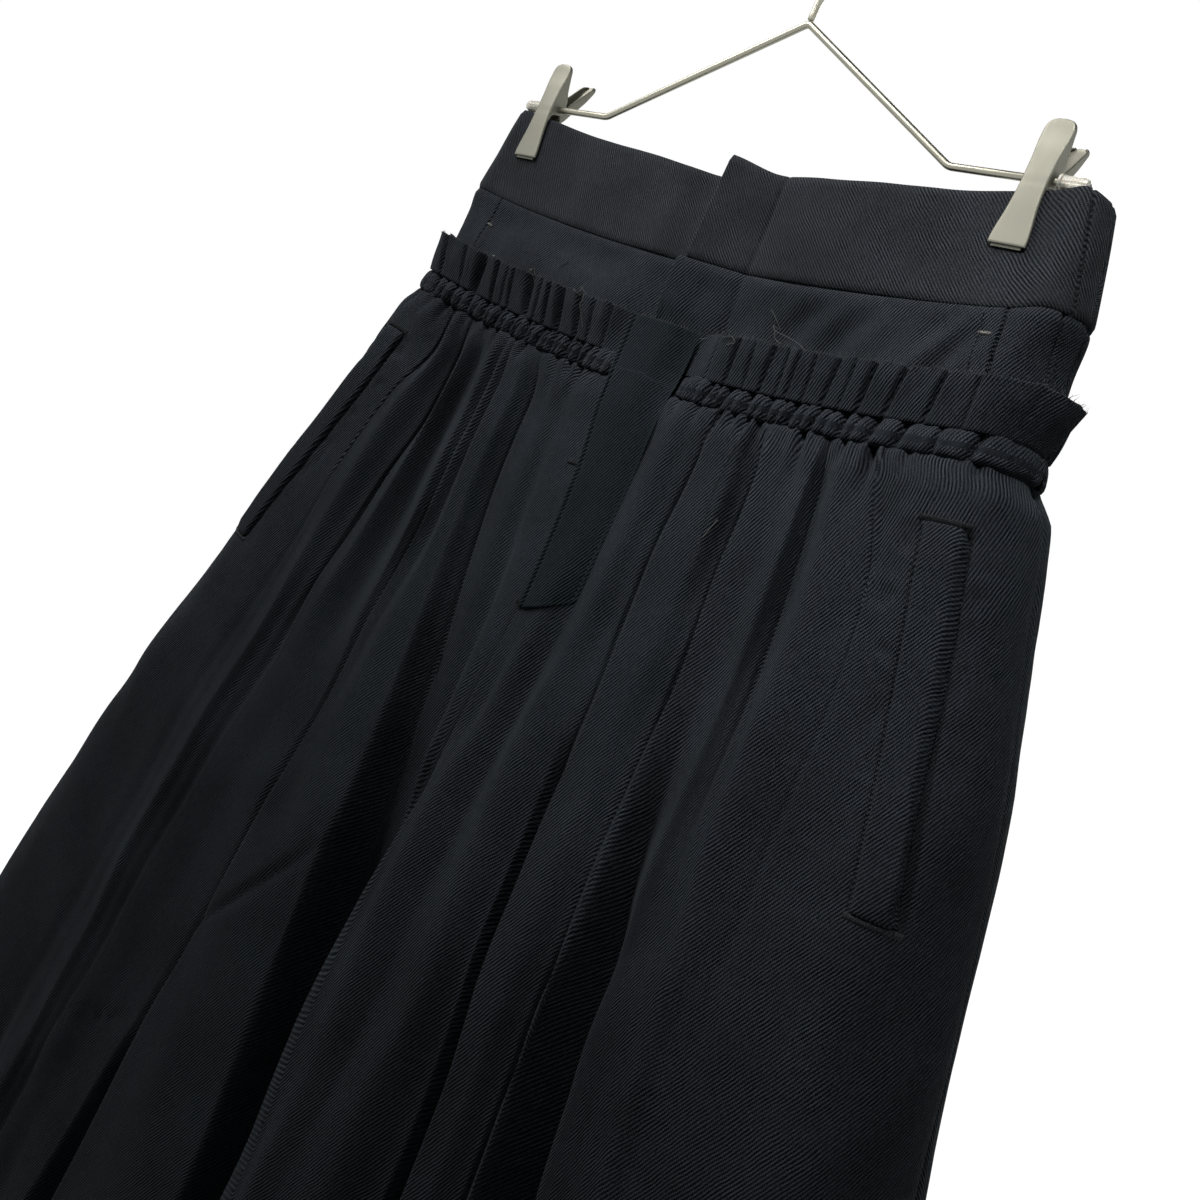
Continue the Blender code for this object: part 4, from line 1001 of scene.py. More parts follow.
def make_waistband():
    """The band's three pieces; gives back the outer faces of the front ones."""
    low = BAND_BOTTOM + np.array((2.6, 1.4, 0.5))
    levels = np.concatenate([np.linspace(BAND_TOP, BAND_BOTTOM + 4, 34), low])
    level = levels[:, None]
    height = (level - BAND_BOTTOM) / (BAND_TOP - BAND_BOTTOM)
    edges = 1.1 * ease((level - BAND_TOP + 3.0) / 3.0) + 1.0 * ease(1 - (level - BAND_BOTTOM) / 3.2)
    grids = []
    for name, side, start, seed in (("right", 1, -BAND_LAP, 3), ("left", -1, -UNDER_LAP, 5)):
        stops = (band_seam(levels),) if side > 0 else ()
        distance = seamed((start + 0 * levels, *stops, half_girth(levels)))
        if side > 0:
            distance = distance + 4.0 * np.clip((14.0 - distance) / 19.0, 0, 1)
            lift = LAP_LIFT * height * ease(1 - (distance + BAND_LAP) / 36)
            lift += 3.4 * height ** 2 * bell(distance, 176, 8.0) + arched(distance) * (1 - height) ** 2
            # the lap and its fold, the belly, the seam, and the trough beside the clip
            recess = 0.8 * ease(1 - np.abs(distance - LAP_FOLD) / 1.6)
            recess -= lap_rise(distance, 34.0)
            recess -= 6.0 * height * ease((distance - 18.0) / 40.0) * ease((146.0 - distance) / 70.0)
            recess += ridge_and_groove(distance, band_seam(levels), 2.2, 0.35)
            recess += 1.8 * bell(distance, 170.0, 4.5) * ease((level + 158.0) / 12.0)
        else:
            lift = -UNDER_DROP * height * ease(1 - (distance - 10) / 60)
            recess = under_lap(distance, 1.8)
        recess += edges + 0.25 * swell(distance / 11.0 + 5, -level / 16.0, seed + 1)
        recess += 0.8 * swell(distance / 30.0 + 5, -level / 26.0, seed) * ease(distance / 20.0)
        grids.append(waist_front("band_front_" + name, "waistband_front_" + name, side, distance, level,
                                 recess, lift, 1.0, BAND_THICK, BAND_TWILL))

    def back(distance, side):
        uneven = swell(distance / 30.0 + 9, -level / 26.0, 8 + side)
        return edges + 0.7 * uneven * ease(distance / 20.0)

    waist_back("band_back", "waistband_back", levels, 120, back, 1.0, BAND_THICK, BAND_TWILL)
    return grids


def make_yoke():
    """The yoke's three pieces; gives back the outer faces of the front ones."""
    top = BAND_BOTTOM - np.array((0.0, 1.2, 2.6, 4.2))
    levels = np.concatenate([top, np.linspace(-176.5, CASING_TOP, 26)])
    level = levels[:, None]
    drop = BAND_BOTTOM - levels
    fall = BAND_BOTTOM - level
    rim = 0.9 * ease(1 - fall / 3.4)
    below = ease((fall - 1) / 14)
    down = ease(fall / 30.0)
    grids = []
    for name, side, start, seed in (("right", 1, -BAND_LAP, 13), ("left", -1, -UNDER_LAP, 17)):
        seams = yoke_seams(drop) if side > 0 else (161.0 - drop * 0.04,)
        distance = seamed((start + 0 * levels, *seams, half_girth(levels)))
        ripple = 0.9 - 0.9 * np.cos(distance / 9.0 + 1.3 * np.sin(distance / 31.0) + (level + 190) / 40.0)
        ripple += 0.55 * swell(distance / 12.0, -level / 40.0, seed)
        ripple += 0.2 * swell(distance / 5.0, -level / 11.0, seed + 1)
        recess = rim + below * ripple + ridge_and_groove(distance, seams[0], 2.0, 0.6)
        if side < 0:
            belly = ease((distance - 4.0) / 30.0) * ease((186.0 - distance) / 30.0)
            recess -= 6.4 * ease((fall - 2) / 30.0) * ease((level + 222.0) / 16.0) * belly
            recess += under_lap(distance, YOKE_THICK)
        else:
            # the lap and its fold, a hollow, a belly, two sets of slanting wrinkles, and the second seam
            recess += 0.5 * ease(1 - np.abs(distance - LAP_FOLD) / 1.6)
            recess -= 0.45 * ease((31.5 - distance) / 3.0)
            stands = 0.35 + 0.65 * ease((level + 212.0) / 20.0)
            recess -= lap_rise(distance, 32.0) * stands
            hollow = ease((distance - 16.0) / 30.0) * ease((128.0 - distance) / 40.0)
            belly = ease((distance - 118.0) / 26.0) * ease((188.0 - distance) / 20.0)
            recess += down * (4.0 * hollow - 3.4 * belly * ease((level + 220.0) / 14.0))
            slant = (distance - 152.0 - (level + 190.0) * 0.55) / 3.2
            recess += 1.5 * np.sin(slant) * bell(distance, 150.0, 15.0) * below
            slant = (distance - 92.0 - (level + 190.0) * 0.7) / 4.5
            recess += 1.1 * np.sin(slant) * bell(distance, 92.0, 40.0) * below
            recess += ridge_and_groove(distance, seams[1], 1.7, 0.4)
        lift = (side > 0) * arched(distance) * ease(1 - fall / 16.0)
        grids.append(waist_front("yoke_cloth_" + name, "yoke_front_" + name, side, distance, level, recess,
                                 lift, yoke_flare(fall), YOKE_THICK, BODY_CLOTH))

    def back(distance, side):
        uneven = 0.5 * swell(distance / 12.0, -level / 40.0, 19 + side)
        return rim + below * (0.6 - 0.6 * np.cos(distance / 10.0) + uneven)

    waist_back("yoke_cloth_back", "yoke_back", levels, 110, back, yoke_flare(fall), YOKE_THICK, BODY_CLOTH)
    return grids


def pinched(distance, along, table):
    """How far the elastic pulls the cloth in at each place: 1 at a full pinch, 0 on a puff."""
    bite = np.zeros(np.broadcast(distance, along).shape)
    for spot, deep, lean in table:
        bite = np.maximum(bite, deep * bell(distance, spot + lean * along, 1.15 + 0.7 * deep, 1.15))
    return bite


def back_pinches():
    rng = np.random.default_rng(71)
    spots, at = [], 6.0
    while at < 222.0:
        spots.append((at, float(rng.uniform(0.45, 1.0)), float(rng.uniform(-1, 1))))
        at += float(rng.uniform(6.5, 13.5))
    return spots


def casing_grid(distance, table, side, front, seed):
    """Closed section of the casing carried along the waist: puffs between pinches."""
    turn = np.linspace(0, 2 * np.pi, 21)[:, None]
    out, up = np.cos(turn), np.sin(turn)
    across = distance[None, :]
    bite = pinched(across, up, table)
    uneven = swell(across / 8.0, up * 0.8 + 3, seed)
    lumpy = swell(across / 5.0, up * 0.4 + 8, seed + 3)
    half_high = (CASING_TOP - CASING_BOTTOM) / 2 * (1.02 - 0.10 * bite + 0.05 * uneven)
    half_deep = 4.1 - 3.3 * bite + 0.9 * uneven + 0.4 * lumpy
    middle_out = 1.1 - 2.2 * bite
    if front:
        # flatter towards its end beside the fly
        full = ease((across - distance[0] + 1.0) / 9.0)
        half_high = half_high * (0.72 + 0.28 * full)
        half_deep = half_deep * (0.30 + 0.70 * full)
        middle_out = middle_out * full
    middle = (CASING_TOP + CASING_BOTTOM) / 2
    level = middle + 0.2 * lumpy + np.sign(up) * np.abs(up) ** CASING_SQUARE * half_high
    outset = middle_out + np.sign(out) * np.abs(out) ** CASING_SQUARE * half_deep
    outset += 0.35 * swell(across / 2.2, up * 1.8, seed + 1) * (out > 0)
    x, y = girth_points(np.minimum(distance, half_girth(middle))[None, :] + 0 * up, -outset, level, front)
    return placed(x, y, level, side)


def tube_piece(name, node, grid, material, across):
    """Hollow tube of cloth, open at its ends, through rings of points: grid is round by along."""
    rounds, columns = grid.shape[0] - 1, grid.shape[1]
    outer = grid[:-1]
    centre = outer.mean(axis=0)
    lined = outer + CASING_WALL * (centre - outer)
    number = np.arange(rounds * columns).reshape(rounds, columns)
    lining = number + rounds * columns
    normal = np.cross(outer[1, 1] - outer[0, 1], outer[0, 2] - outer[0, 1])
    flip = float(np.dot(normal, outer[0, 1] - centre[1])) < 0
    faces = []
    for r in range(rounds):
        after = (r + 1) % rounds
        faces += strip(number[r], number[after], flip) + strip(lining[r], lining[after], not flip)
    closed = np.append(np.arange(rounds), 0)
    faces += strip(number[closed, 0], lining[closed, 0], flip)
    faces += strip(number[closed, -1], lining[closed, -1], not flip)
    turn = np.linspace(0, CASING_ROUND, rounds + 1)[:-1, None]
    weave = np.stack(np.broadcast_arrays(across[None, :], turn), axis=-1).reshape(-1, 2)
    points = np.concatenate([outer.reshape(-1, 3), lined.reshape(-1, 3)])
    new_piece(name, node, points, faces, material, np.concatenate([weave, weave]))


def make_casing():
    end = float(half_girth(np.array(CASING_BOTTOM + 7.0)))
    for name, side, start, table, seed in (
        ("right", 1, 28.0, PINCHES_RIGHT, 51), ("left", -1, 15.0, PINCHES_LEFT, 53),
    ):
        distance = np.linspace(start, end, 320)
        grid = casing_grid(distance, table, side, True, seed)
        tube_piece("casing_cloth_" + name, "casing_front_" + name, grid, BODY_CLOTH, side * distance)
    distance = np.linspace(0.0, end, 130)
    table = back_pinches()
    grid = both_sides(lambda side: casing_grid(distance, table, side, False, 55))
    across = np.concatenate([-distance[::-1], distance[1:]])
    tube_piece("casing_cloth_back", "casing_back", grid, BODY_CLOTH, across)


# Tucks of the frill's two front halves: distance, depth, width, lean to the top
TUCKS_RIGHT = (
    (41, 0.5, 1.3, 1.0), (54, 0.9, 1.4, 2.0), (65, 0.4, 1.0, 0.5), (75, 1.2, 1.2, 2.5),
    (84, 0.5, 1.1, 1.0), (90, 0.8, 1.2, 2.0), (99, 0.6, 1.1, 1.0), (110, 1.1, 1.2, 3.0),
    (119, 0.5, 1.0, 1.5), (128.5, 1.2, 1.5, 3.5), (142.5, 1.2, 1.5, 4.5), (161.5, 0.9, 1.3, 4.0),
    (178, 0.35, 1.1, 0.5), (196, 0.25, 1.8, 1.0),
)
TUCKS_LEFT = (
    (32, 0.4, 1.4, 1.0), (44, 0.5, 1.5, 2.0), (54, 1.1, 2.4, 3.0), (69, 1.3, 3.2, 3.0),
    (80, 0.9, 1.8, 2.0), (88, 0.5, 1.3, 1.5), (96.5, 1.3, 3.4, 3.0), (112, 0.7, 1.5, 2.0),
    (118, 0.4, 1.2, 1.0), (127, 0.9, 1.8, 2.5), (142.5, 1.3, 4.2, -2.0), (157, 0.35, 2.0, 1.0),
    (178, 0.6, 2.2, 2.0), (197, 0.9, 2.4, -1.0),
)


def frill_half(distance, share, table, side, front, seed, deepest=2.5):
    """Frill above the casing: its top leans out, its tucks run up through it and its raw edge waves."""
    edge = 0.8 * swell(distance / 7.0, distance * 0 + 2.5, seed)
    edge += 0.4 * swell(distance / 2.2, distance * 0, seed + 1)
    distance, share = distance[None, :], share[:, None]
    level = CASING_TOP - 1.0 + (FRILL_TOP + edge - CASING_TOP + 1.0) * share
    bite = np.zeros_like(level)
    for spot, deep, wide, lean in table:
        close = bell(distance, spot + lean * (share - 0.4), wide * (0.62 + 0.2 * share))
        bite = np.maximum(bite, deep * (1 - 0.30 * share) * close)
    arch = np.sin(np.pi * (0.12 + 0.88 * share) * 0.8)
    lean = 6.4 * (1.0 if front and side > 0 else 1 - 0.6 * ease((distance - 176.0) / 22.0))
    outset = 3.4 + lean * share ** 1.2 + (0.6 + 1.4 * arch) * (1 - np.clip(bite, 0, 1)) ** 0.8
    outset -= deepest * bite * (0.55 + 0.45 * arch) * (0.6 + 0.4 * share)
    wave = swell(distance / 9.0 + 4, share * 1.4, seed + 2)
    outset += (wave + 0.3 * swell(distance / 3.0, share * 3, seed + 4)) * (0.25 + share)
    outset = np.maximum(outset, 1.2)
    if front:
        # flush at its start beside the fly
        outset = 1.2 + (outset - 1.2) * (0.06 + 0.94 * ease((distance - distance[0, 0] - 1.0) / 20.0))
    x, y = girth_points(distance + 0 * level, -outset, level, front)
    return placed(x, y, level, side)


def make_frill():
    """The frill's three pieces; gives back their outer faces."""
    end = float(half_girth(np.array(FRILL_TOP)))
    share = np.concatenate([np.linspace(0, 0.9, 16), (0.95, 1.0)])
    grids = []
    for name, side, start, table, seed, deepest in (
        ("right", 1, 28.0, TUCKS_RIGHT, 61, 2.5), ("left", -1, 18.0, TUCKS_LEFT, 64, 4.2),
    ):
        grid = frill_half(np.linspace(start, end, 330), share, table, side, True, seed, deepest)
        up = (share * FRILL_HEIGHT)[:, None]
        weave = np.stack(np.broadcast_arrays(side * arc(grid)[9:10], up), axis=-1)
        sheet_piece("frill_cloth_" + name, "frill_front_" + name, grid, -1, FRILL_THICK, BODY_CLOTH, weave)
        grids.append(grid)
    table = [(spot, 0.9 * deep, 1.2 + 1.2 * deep, 2.0 * lean) for spot, deep, lean in back_pinches()[::2]]
    distance = np.linspace(0.0, end, 200)
    grid = both_sides(lambda side: frill_half(distance, share, table, side, False, 67))
    weave = weave_of(grid, share * FRILL_HEIGHT)
    sheet_piece("frill_cloth_back", "frill_back", grid, 1, FRILL_THICK, BODY_CLOTH, weave)
    return grids + [grid]


# ---------------------------------------------------------------- pieces that lie on the front

PLACKET_LEVELS = (-204.0, -235.0, -250.0, -275.0, -300.0, -325.0, -345.0, -367.0)
PLACKET_LEFT = (-17.5, -15.0, -12.5, -9.0, -6.0, -3.0, -1.0, 1.2)
PLACKET_RIGHT_TOP = 26.0
PLACKET_RIGHT_LOW = 29.5
PLACKET_LOW = -366.5
PLACKET_ROUND = 13.5


FALL_PASSES = 160


def straightened(grid, share):
    """Takes the bends out of a piece's fall, as far as share says at each place."""
    fall = grid[..., 1].copy()
    for _ in range(FALL_PASSES):
        fall[1:-1] = (fall[:-2] + 2 * fall[1:-1] + fall[2:]) / 4
    grid[..., 1] += (fall - grid[..., 1]) * share


def laid_piece(name, node, tree, x, level, proud, thick, material, straight=0.0):
    """Cloth laid on the front: proud is how far its outer face stands off."""
    base, normal = lay(tree, x, level, 0.0)
    normal = smoothed(normal, 6)
    normal /= np.linalg.norm(normal, axis=-1, keepdims=True)
    over = np.maximum(0.0, ((smoothed(base, 3) - base) * normal).sum(-1))
    grid = base + normal * (proud + over)[..., None]
    straightened(grid, straight)
    sheet_piece(name, node, grid, -1, thick, material, np.stack([x, level], axis=-1), normal)
    return grid


def make_placket(tree):
    """The fly's placket: a pressed fold on its left, a thin edge on its right, a rounded foot."""
    down = np.linspace(0, 1, 110)[:, None]
    across = np.concatenate([np.linspace(0.0, 0.10, 12), np.linspace(0.125, 0.94, 34), (0.97, 0.988, 1.0)])
    top = FRILL_TOP - 1.0
    level = top + (PLACKET_LOW + PLACKET_ROUND * across ** 1.5 - top) * down
    left = curve(PLACKET_LEVELS, PLACKET_LEFT, level)
    right = PLACKET_RIGHT_TOP + (PLACKET_RIGHT_LOW - PLACKET_RIGHT_TOP) * down
    x = left + (right - left) * across
    from_edge = ease((right - x) / 26.0)
    thick = 0.15 + (PLACKET_THICK - 0.15) * from_edge ** 0.7
    proud = thick + 0.15 + 0.45 * from_edge
    # pressed beside the fold, along the stitching, and raised where it passes before the yoke
    proud -= 1.1 * bell(x, left + 2.0, 0.75)
    proud -= 0.45 * bell(np.minimum(level - level[-1:], (right - x) * 1.2), 2.2, 0.7)
    proud += 5.4 * ease((level + 292.0) / 64.0) * (1 - 0.62 * ease((x - 8.0) / 16.0))
    straight = ease((level + 290.0) / 24.0)
    return laid_piece("fly_cloth", "fly_placket", tree, x, level, proud, thick, FLY_SHADED_CLOTH, straight)


def make_welt(name, side, tree):
    down = np.linspace(0, 1, 90)[:, None]
    across = np.concatenate([(0.0, 0.03, 0.07), np.linspace(0.13, 0.87, 12), (0.93, 0.97, 1.0)])[None, :]
    level, inner = welt_line(down)
    x = side * (inner + WELT_WIDTH * across)
    soft = ease(across / 0.10) * ease((1 - across) / 0.10)
    ends = ease(down / 0.04) * ease((1 - down) / 0.04)
    proud = WELT_THICK + 0.1 + 0.5 * soft * ends + 1.7 * across ** 3 * (0.3 + 0.7 * ends)
    laid_piece("welt_cloth_" + name, "pocket_welt_" + name, tree, x, level + 0 * x, proud, WELT_THICK,
               BODY_CLOTH)


# ---------------------------------------------------------------- sewing

TACK_PITCH = 0.62
TACK_RADIUS = 0.24
PLACKET_FOOT_ROWS = (
    ((2.6, -363.5), (8.0, -362.0), (14.0, -359.4), (20.0, -356.0), (26.0, -351.8)),
    ((2.4, -361.0), (8.0, -359.4), (14.0, -356.8), (20.0, -353.4), (25.4, -349.4)),
)
# Pale tacks on the yokes: start, end, height
PALE_TACKS = (
    ((162.3, -181.6), (169.3, -182.8), 1.5), ((-161.5, -186.6), (-155.5, -187.6), 1.4),
    ((-140.4, -203.0), (-138.4, -203.2), 1.2), ((-105.8, -201.4), (-104.0, -202.0), 1.2),
)
# Threads that lie on the front: their course, radius, how far they stand off
DARK_THREADS = (
    (((-124, -195), (-114, -193), (-105, -192), (-103, -197), (-105, -201), (-99, -206)), 0.13, 0.5),
    (((-112, -199), (-107, -205), (-103, -202), (-106, -196), (-110, -193)), 0.13, 0.5),
    (((-83, -188.5), (-86, -195), (-82, -203), (-77, -206)), 0.13, 0.5),
    (((-83, -188.5), (-76, -194), (-75, -199), (-77, -206)), 0.13, 0.5),
    (((80, -243), (78, -262), (78, -276), (81, -292), (87, -310)), 0.17, 0.4),
)
LIGHT_THREADS = (
    (((-106, -205), (-103, -200), (-100, -204), (-97, -207)), 0.16, 0.5),
    (((-63.5, -200), (-57, -203), (-52, -211), (-47, -220.5)), 0.15, 0.5),
    (((-60, -196), (-62, -203), (-55, -206)), 0.15, 0.5),
    (((18, -206), (24, -207), (30, -206.5)), 0.18, 0.5),
    (((45, -206), (50, -204.5), (53, -207), (49, -209)), 0.18, 0.5),
    (((55.5, -184), (61, -189), (66, -195), (74, -197), (81, -199), (90, -204)), 0.15, 0.5),
    (((66, -195), (68, -199), (73, -201)), 0.15, 0.5),
    (((86, -290), (84.5, -300)), 0.24, 0.4),
)


def stitched(tree, rng, points, pitch=3.0, length=2.1, radius=0.2):
    """Single stitches along a line of (x, level) points laid on the front."""
    points = np.asarray(points, float)
    step = np.linalg.norm(np.diff(points, axis=0), axis=1)
    along = np.concatenate([[0], np.cumsum(step)])
    starts = np.arange(0.4, along[-1] - length, pitch)
    starts += rng.uniform(-0.12, 0.12, len(starts))
    spots = starts[:, None] + length * np.array((0.0, 0.22, 0.5, 0.78, 1.0))
    heights = radius * np.array((-0.25, 0.75, 1.0, 0.75, -0.25)) + 0.12
    x, level = [np.interp(spots, along, points[:, k]) for k in (0, 1)]
    thin = radius * np.array((0.55, 0.95, 1.0, 0.95, 0.55))
    return [(line, thin) for line in lay(tree, x, level, heights)[0]]


def bar_of_thread(tree, rng, start, end, high):
    """Bartack: close stitches across a short line."""
    start, end = np.array(start, float), np.array(end, float)
    length = np.linalg.norm(end - start)
    ahead = (end - start) / length
    aside = np.array((-ahead[1], ahead[0]))
    runs = []
    for k in range(int(length / TACK_PITCH)):
        centre = start + ahead * (k + 0.5) * TACK_PITCH
        reach = high / 2 * (1 + rng.uniform(-0.12, 0.12))
        x, level = np.array([centre - aside * reach, centre, centre + aside * reach]).T
        runs.append((lay(tree, x, level, (0.05, 0.45, 0.05))[0], TACK_RADIUS))
    return runs


def waist_stitches(tree, rng, distance, level, flare_share):
    """A row of dark stitches on the right half of the waist."""
    x = girth_points(distance, 0.0, level, True)[0] + flare(distance) * flare_share
    return stitched(tree, rng, np.stack([x, level], -1), 2.6, 1.9, 0.24)


def make_stitches(tree, waist_tree):
    """The rows of stitches, and the bars at the ends of the pockets and the fly."""
    rng = np.random.default_rng(5)
    runs, glint_painted_bars = [], []
    for side in (1, -1):
        def at(fall, off):
            level, inner = welt_line(fall)
            return side * (inner + off), level
        for off in (-2.2, 1.8, WELT_WIDTH - 1.6, WELT_WIDTH + 3.4):
            runs += stitched(tree, rng, [at(fall, off) for fall in np.linspace(-0.005, 1.005, 24)])
        runs += bar_of_thread(tree, rng, at(-0.012, -2.8), at(-0.012, WELT_WIDTH + 3.2), 2.6)
        # The bars at the pockets' feet are drawn in the lighter fray yarn: a painted highlight on them.
        glint_painted_bars += bar_of_thread(tree, rng, at(1.012, -2.8), at(1.012, WELT_WIDTH + 3.2), 2.4)
    levels = np.linspace(-245.0, -361.0, 40)
    edge = curve(PLACKET_LEVELS, PLACKET_LEFT, levels)
    runs += stitched(tree, rng, np.stack([edge + 2.2, levels], -1))
    for row in PLACKET_FOOT_ROWS:
        runs += stitched(tree, rng, row)
    runs += bar_of_thread(tree, rng, (-17.0, -289.0), (-9.0, -288.4), 1.6)
    runs += bar_of_thread(tree, rng, (-3.5, -364.5), (2.0, -368.5), 1.6)
    levels = np.linspace(BAND_TOP - 3.0, BAND_BOTTOM + 2.0, 16)
    runs += waist_stitches(waist_tree, rng, band_seam(levels) + 0.4, levels, 1.0)
    levels = np.linspace(BAND_BOTTOM - 2.0, FRILL_TOP + 1.0, 12)
    drop = BAND_BOTTOM - levels
    for off, seam in ((0.4, 1), (-8.6, 0), (0.4, 0)):
        runs += waist_stitches(waist_tree, rng, yoke_seams(drop)[seam] + off, levels, yoke_flare(drop))
    tubes("pocket_bars", None, glint_painted_bars, FRAY)
    tubes("seam_stitches", None, runs, SEWING)


def fray_of(grid, count, rng, out, long):
    """Loose fibres and yarn ends standing along a raw edge."""
    edge, below = grid[-1], grid[-3]
    t = np.linspace(0, 1, 5)[:, None]
    runs = []
    for _ in range(count):
        k = int(rng.integers(1, len(edge) - 1))
        base = edge[k] + (edge[k + 1] - edge[k]) * rng.uniform(0, 1)
        base = base + np.array((0.0, out * rng.uniform(-0.5, 0.1), rng.uniform(-0.6, 0.1)))
        lean = np.array((rng.normal(0, 0.7), out * rng.uniform(-0.2, 0.6), rng.normal(0, 0.25)))
        ahead = unit(edge[k] - below[k]) + lean
        ahead /= np.linalg.norm(ahead)
        bend = np.array((rng.normal(0, 0.8), out * rng.normal(0, 0.5), rng.normal(0, 0.5)))
        length = rng.gamma(2.2, long / 4.0) + 0.35
        line = base + ahead * length * t + bend * length * 0.35 * t * t
        runs.append((line, rng.uniform(0.05, 0.11) * np.array((1.1, 1.0, 0.95, 0.8, 0.4))))
    return runs


def loose_thread(tree, points, radius, lift):
    """A thread that lies on the front along (x, level) points, rising and falling a little."""
    points = np.asarray(points, float)
    t = np.linspace(0, len(points) - 1, 14 * len(points))
    x, level = curve(-np.arange(len(points)), points, -t).T
    heights = lift + 0.9 * lift * np.sin(t * 2.7 + points[0, 0]) ** 2
    return lay(tree, x, level, heights)[0], radius


def make_fray(tree, frills, placket):
    """Pale tacks on the yokes, fibres of the raw edges, and the threads left hanging."""
    rng = np.random.default_rng(9)
    pale = []
    for start, end, high in PALE_TACKS:
        pale += bar_of_thread(tree, rng, start, end, high)
    tubes("pale_tacks", None, pale, PALE_LINT)
    edges = zip([*frills, placket[::-1]], (520, 300, 260, 80), (-1, -1, 1, -1), (2.6, 1.7, 2.2, 2.0))
    runs = []
    for grid, count, out, long in edges:
        runs += fray_of(grid, count, rng, out, long)
    tubes("frill_fray", None, runs, FRAY, sides=3)
    tubes("dark_threads", None, [loose_thread(tree, *row) for row in DARK_THREADS], SEWING)
    tubes("loose_threads", None, [loose_thread(tree, *row) for row in LIGHT_THREADS], LINT)


# ---------------------------------------------------------------- camera, light and stage


# The camera, solved from the picture: its place in metres, the ways to its back and to its right
CAMERA_PLACE = (0.411, -0.479, -0.325)
CAMERA_BACK = (0.6238, -0.7789, 0.0639)
CAMERA_RIGHT = (0.6976, 0.5918, 0.4039)


def make_camera():
    data = bpy.data.cameras.new("camera")
    camera = bpy.data.objects.new("camera", data)
    bpy.context.scene.collection.objects.link(camera)
    data.lens = 36.0
    data.sensor_width = 36.0
    data.clip_start = 0.01
    data.clip_end = 60.0
    back = Vector(CAMERA_BACK).normalized()
    right = Vector(CAMERA_RIGHT)
    right = (right - back * right.dot(back)).normalized()
    up = back.cross(right)
    turned = Matrix((right, up, back)).transposed()
    camera.matrix_world = Matrix.Translation(CAMERA_PLACE) @ turned.to_4x4()
    bpy.context.scene.camera = camera


def area_light(name, place, target, size, power, colour, spread):
    data = bpy.data.lights.new(name, "AREA")
    data.shape = "RECTANGLE"
    data.size = data.size_y = size
    data.spread = math.radians(spread)
    data.energy = power
    data.color = colour
    made = bpy.data.objects.new(name, data)
    made.location = place
    made.rotation_euler = (Vector(target) - Vector(place)).to_track_quat("-Z", "Y").to_euler()
    bpy.context.scene.collection.objects.link(made)


FLOOR = -1.35
FLOOR_RADIUS = 1.9
FLOOR_BEND = 0.8
WALL_TOP = 1.8


def make_stage():
    """Pale floor that curves up into a backdrop all round."""
    g = Graph("studio_white")
    glow = g.ranged(g.noise(g.add("TexCoord", out=3), 0.8, 1.0), 0.3, 0.7, 0.99, 1.01)
    white = g.surface(Base_Color=(0.1, 0.1, 0.1, 1.0), Roughness=0.9, Specular_IOR_Level=0.1,
                      Emission_Color=(1.0, 1.0, 1.0, 1.0), Emission_Strength=glow)
    profile = [(0.0, FLOOR), (FLOOR_RADIUS, FLOOR)]
    for angle in np.pi / 2 * np.arange(1, 13) / 12:
        rise = FLOOR_BEND * (1 - math.cos(angle))
        profile.append((FLOOR_RADIUS + FLOOR_BEND * math.sin(angle), FLOOR + rise))
    profile += [(FLOOR_RADIUS + FLOOR_BEND, 0.6), (FLOOR_RADIUS + FLOOR_BEND, WALL_TOP)]
    around = 72
    points, faces = [], []
    for radius, z in profile:
        for angle in 2 * np.pi * np.arange(around) / around:
            points.append((radius * math.cos(angle), radius * math.sin(angle), z))
    for r in range(len(profile) - 1):
        for k in range(around):
            a, b = r * around + k, r * around + (k + 1) % around
            faces.append((a, b, b + around, a + around) if r else (a, b + around, a + around))
    mesh = bpy.data.meshes.new("backdrop")
    mesh.from_pydata(points, [], faces)
    mesh.validate()
    mesh.shade_smooth()
    mesh.materials.append(white)
    made = bpy.data.objects.new("backdrop", mesh)
    bpy.context.scene.collection.objects.link(made)
    made.visible_diffuse = made.visible_shadow = False


WARM = (1.0, 0.96, 0.94)
# name, place, target, size in metres, power in watts, colour, spread in degrees
LIGHTS = (
    ("key", (-0.50, -0.44, 0.42), (0.0, 0.0, -0.30), 0.42, 7.3, WARM, 180.0),
    ("head", (0.28, -0.70, 0.50), (0.20, 0.0, -0.10), 0.25, 0.50, WARM, 42.0),
    ("waist", (-0.30, -0.52, 0.42), (0.03, 0.0, -0.16), 0.25, 0.07, WARM, 28.0),
    ("fill", (1.9, -0.15, 0.0), (0.2, 0.0, -0.4), 0.7, 1.5, (0.88, 0.96, 1.0), 180.0),
    ("back", (-0.55, 1.70, 0.75), (0.0, 0.0, -0.45), 0.9, 14.0, (1.0, 0.97, 0.95), 180.0),
)


def make_light():
    world = bpy.data.worlds.new("studio")
    bpy.context.scene.world = world
    world.use_nodes = True
    sky = world.node_tree.nodes["Background"]
    sky.inputs["Color"].default_value = (0.45, 0.78, 1.0, 1.0)
    sky.inputs["Strength"].default_value = 0.020
    for row in LIGHTS:
        area_light(*row)


# ---------------------------------------------------------------- hanger

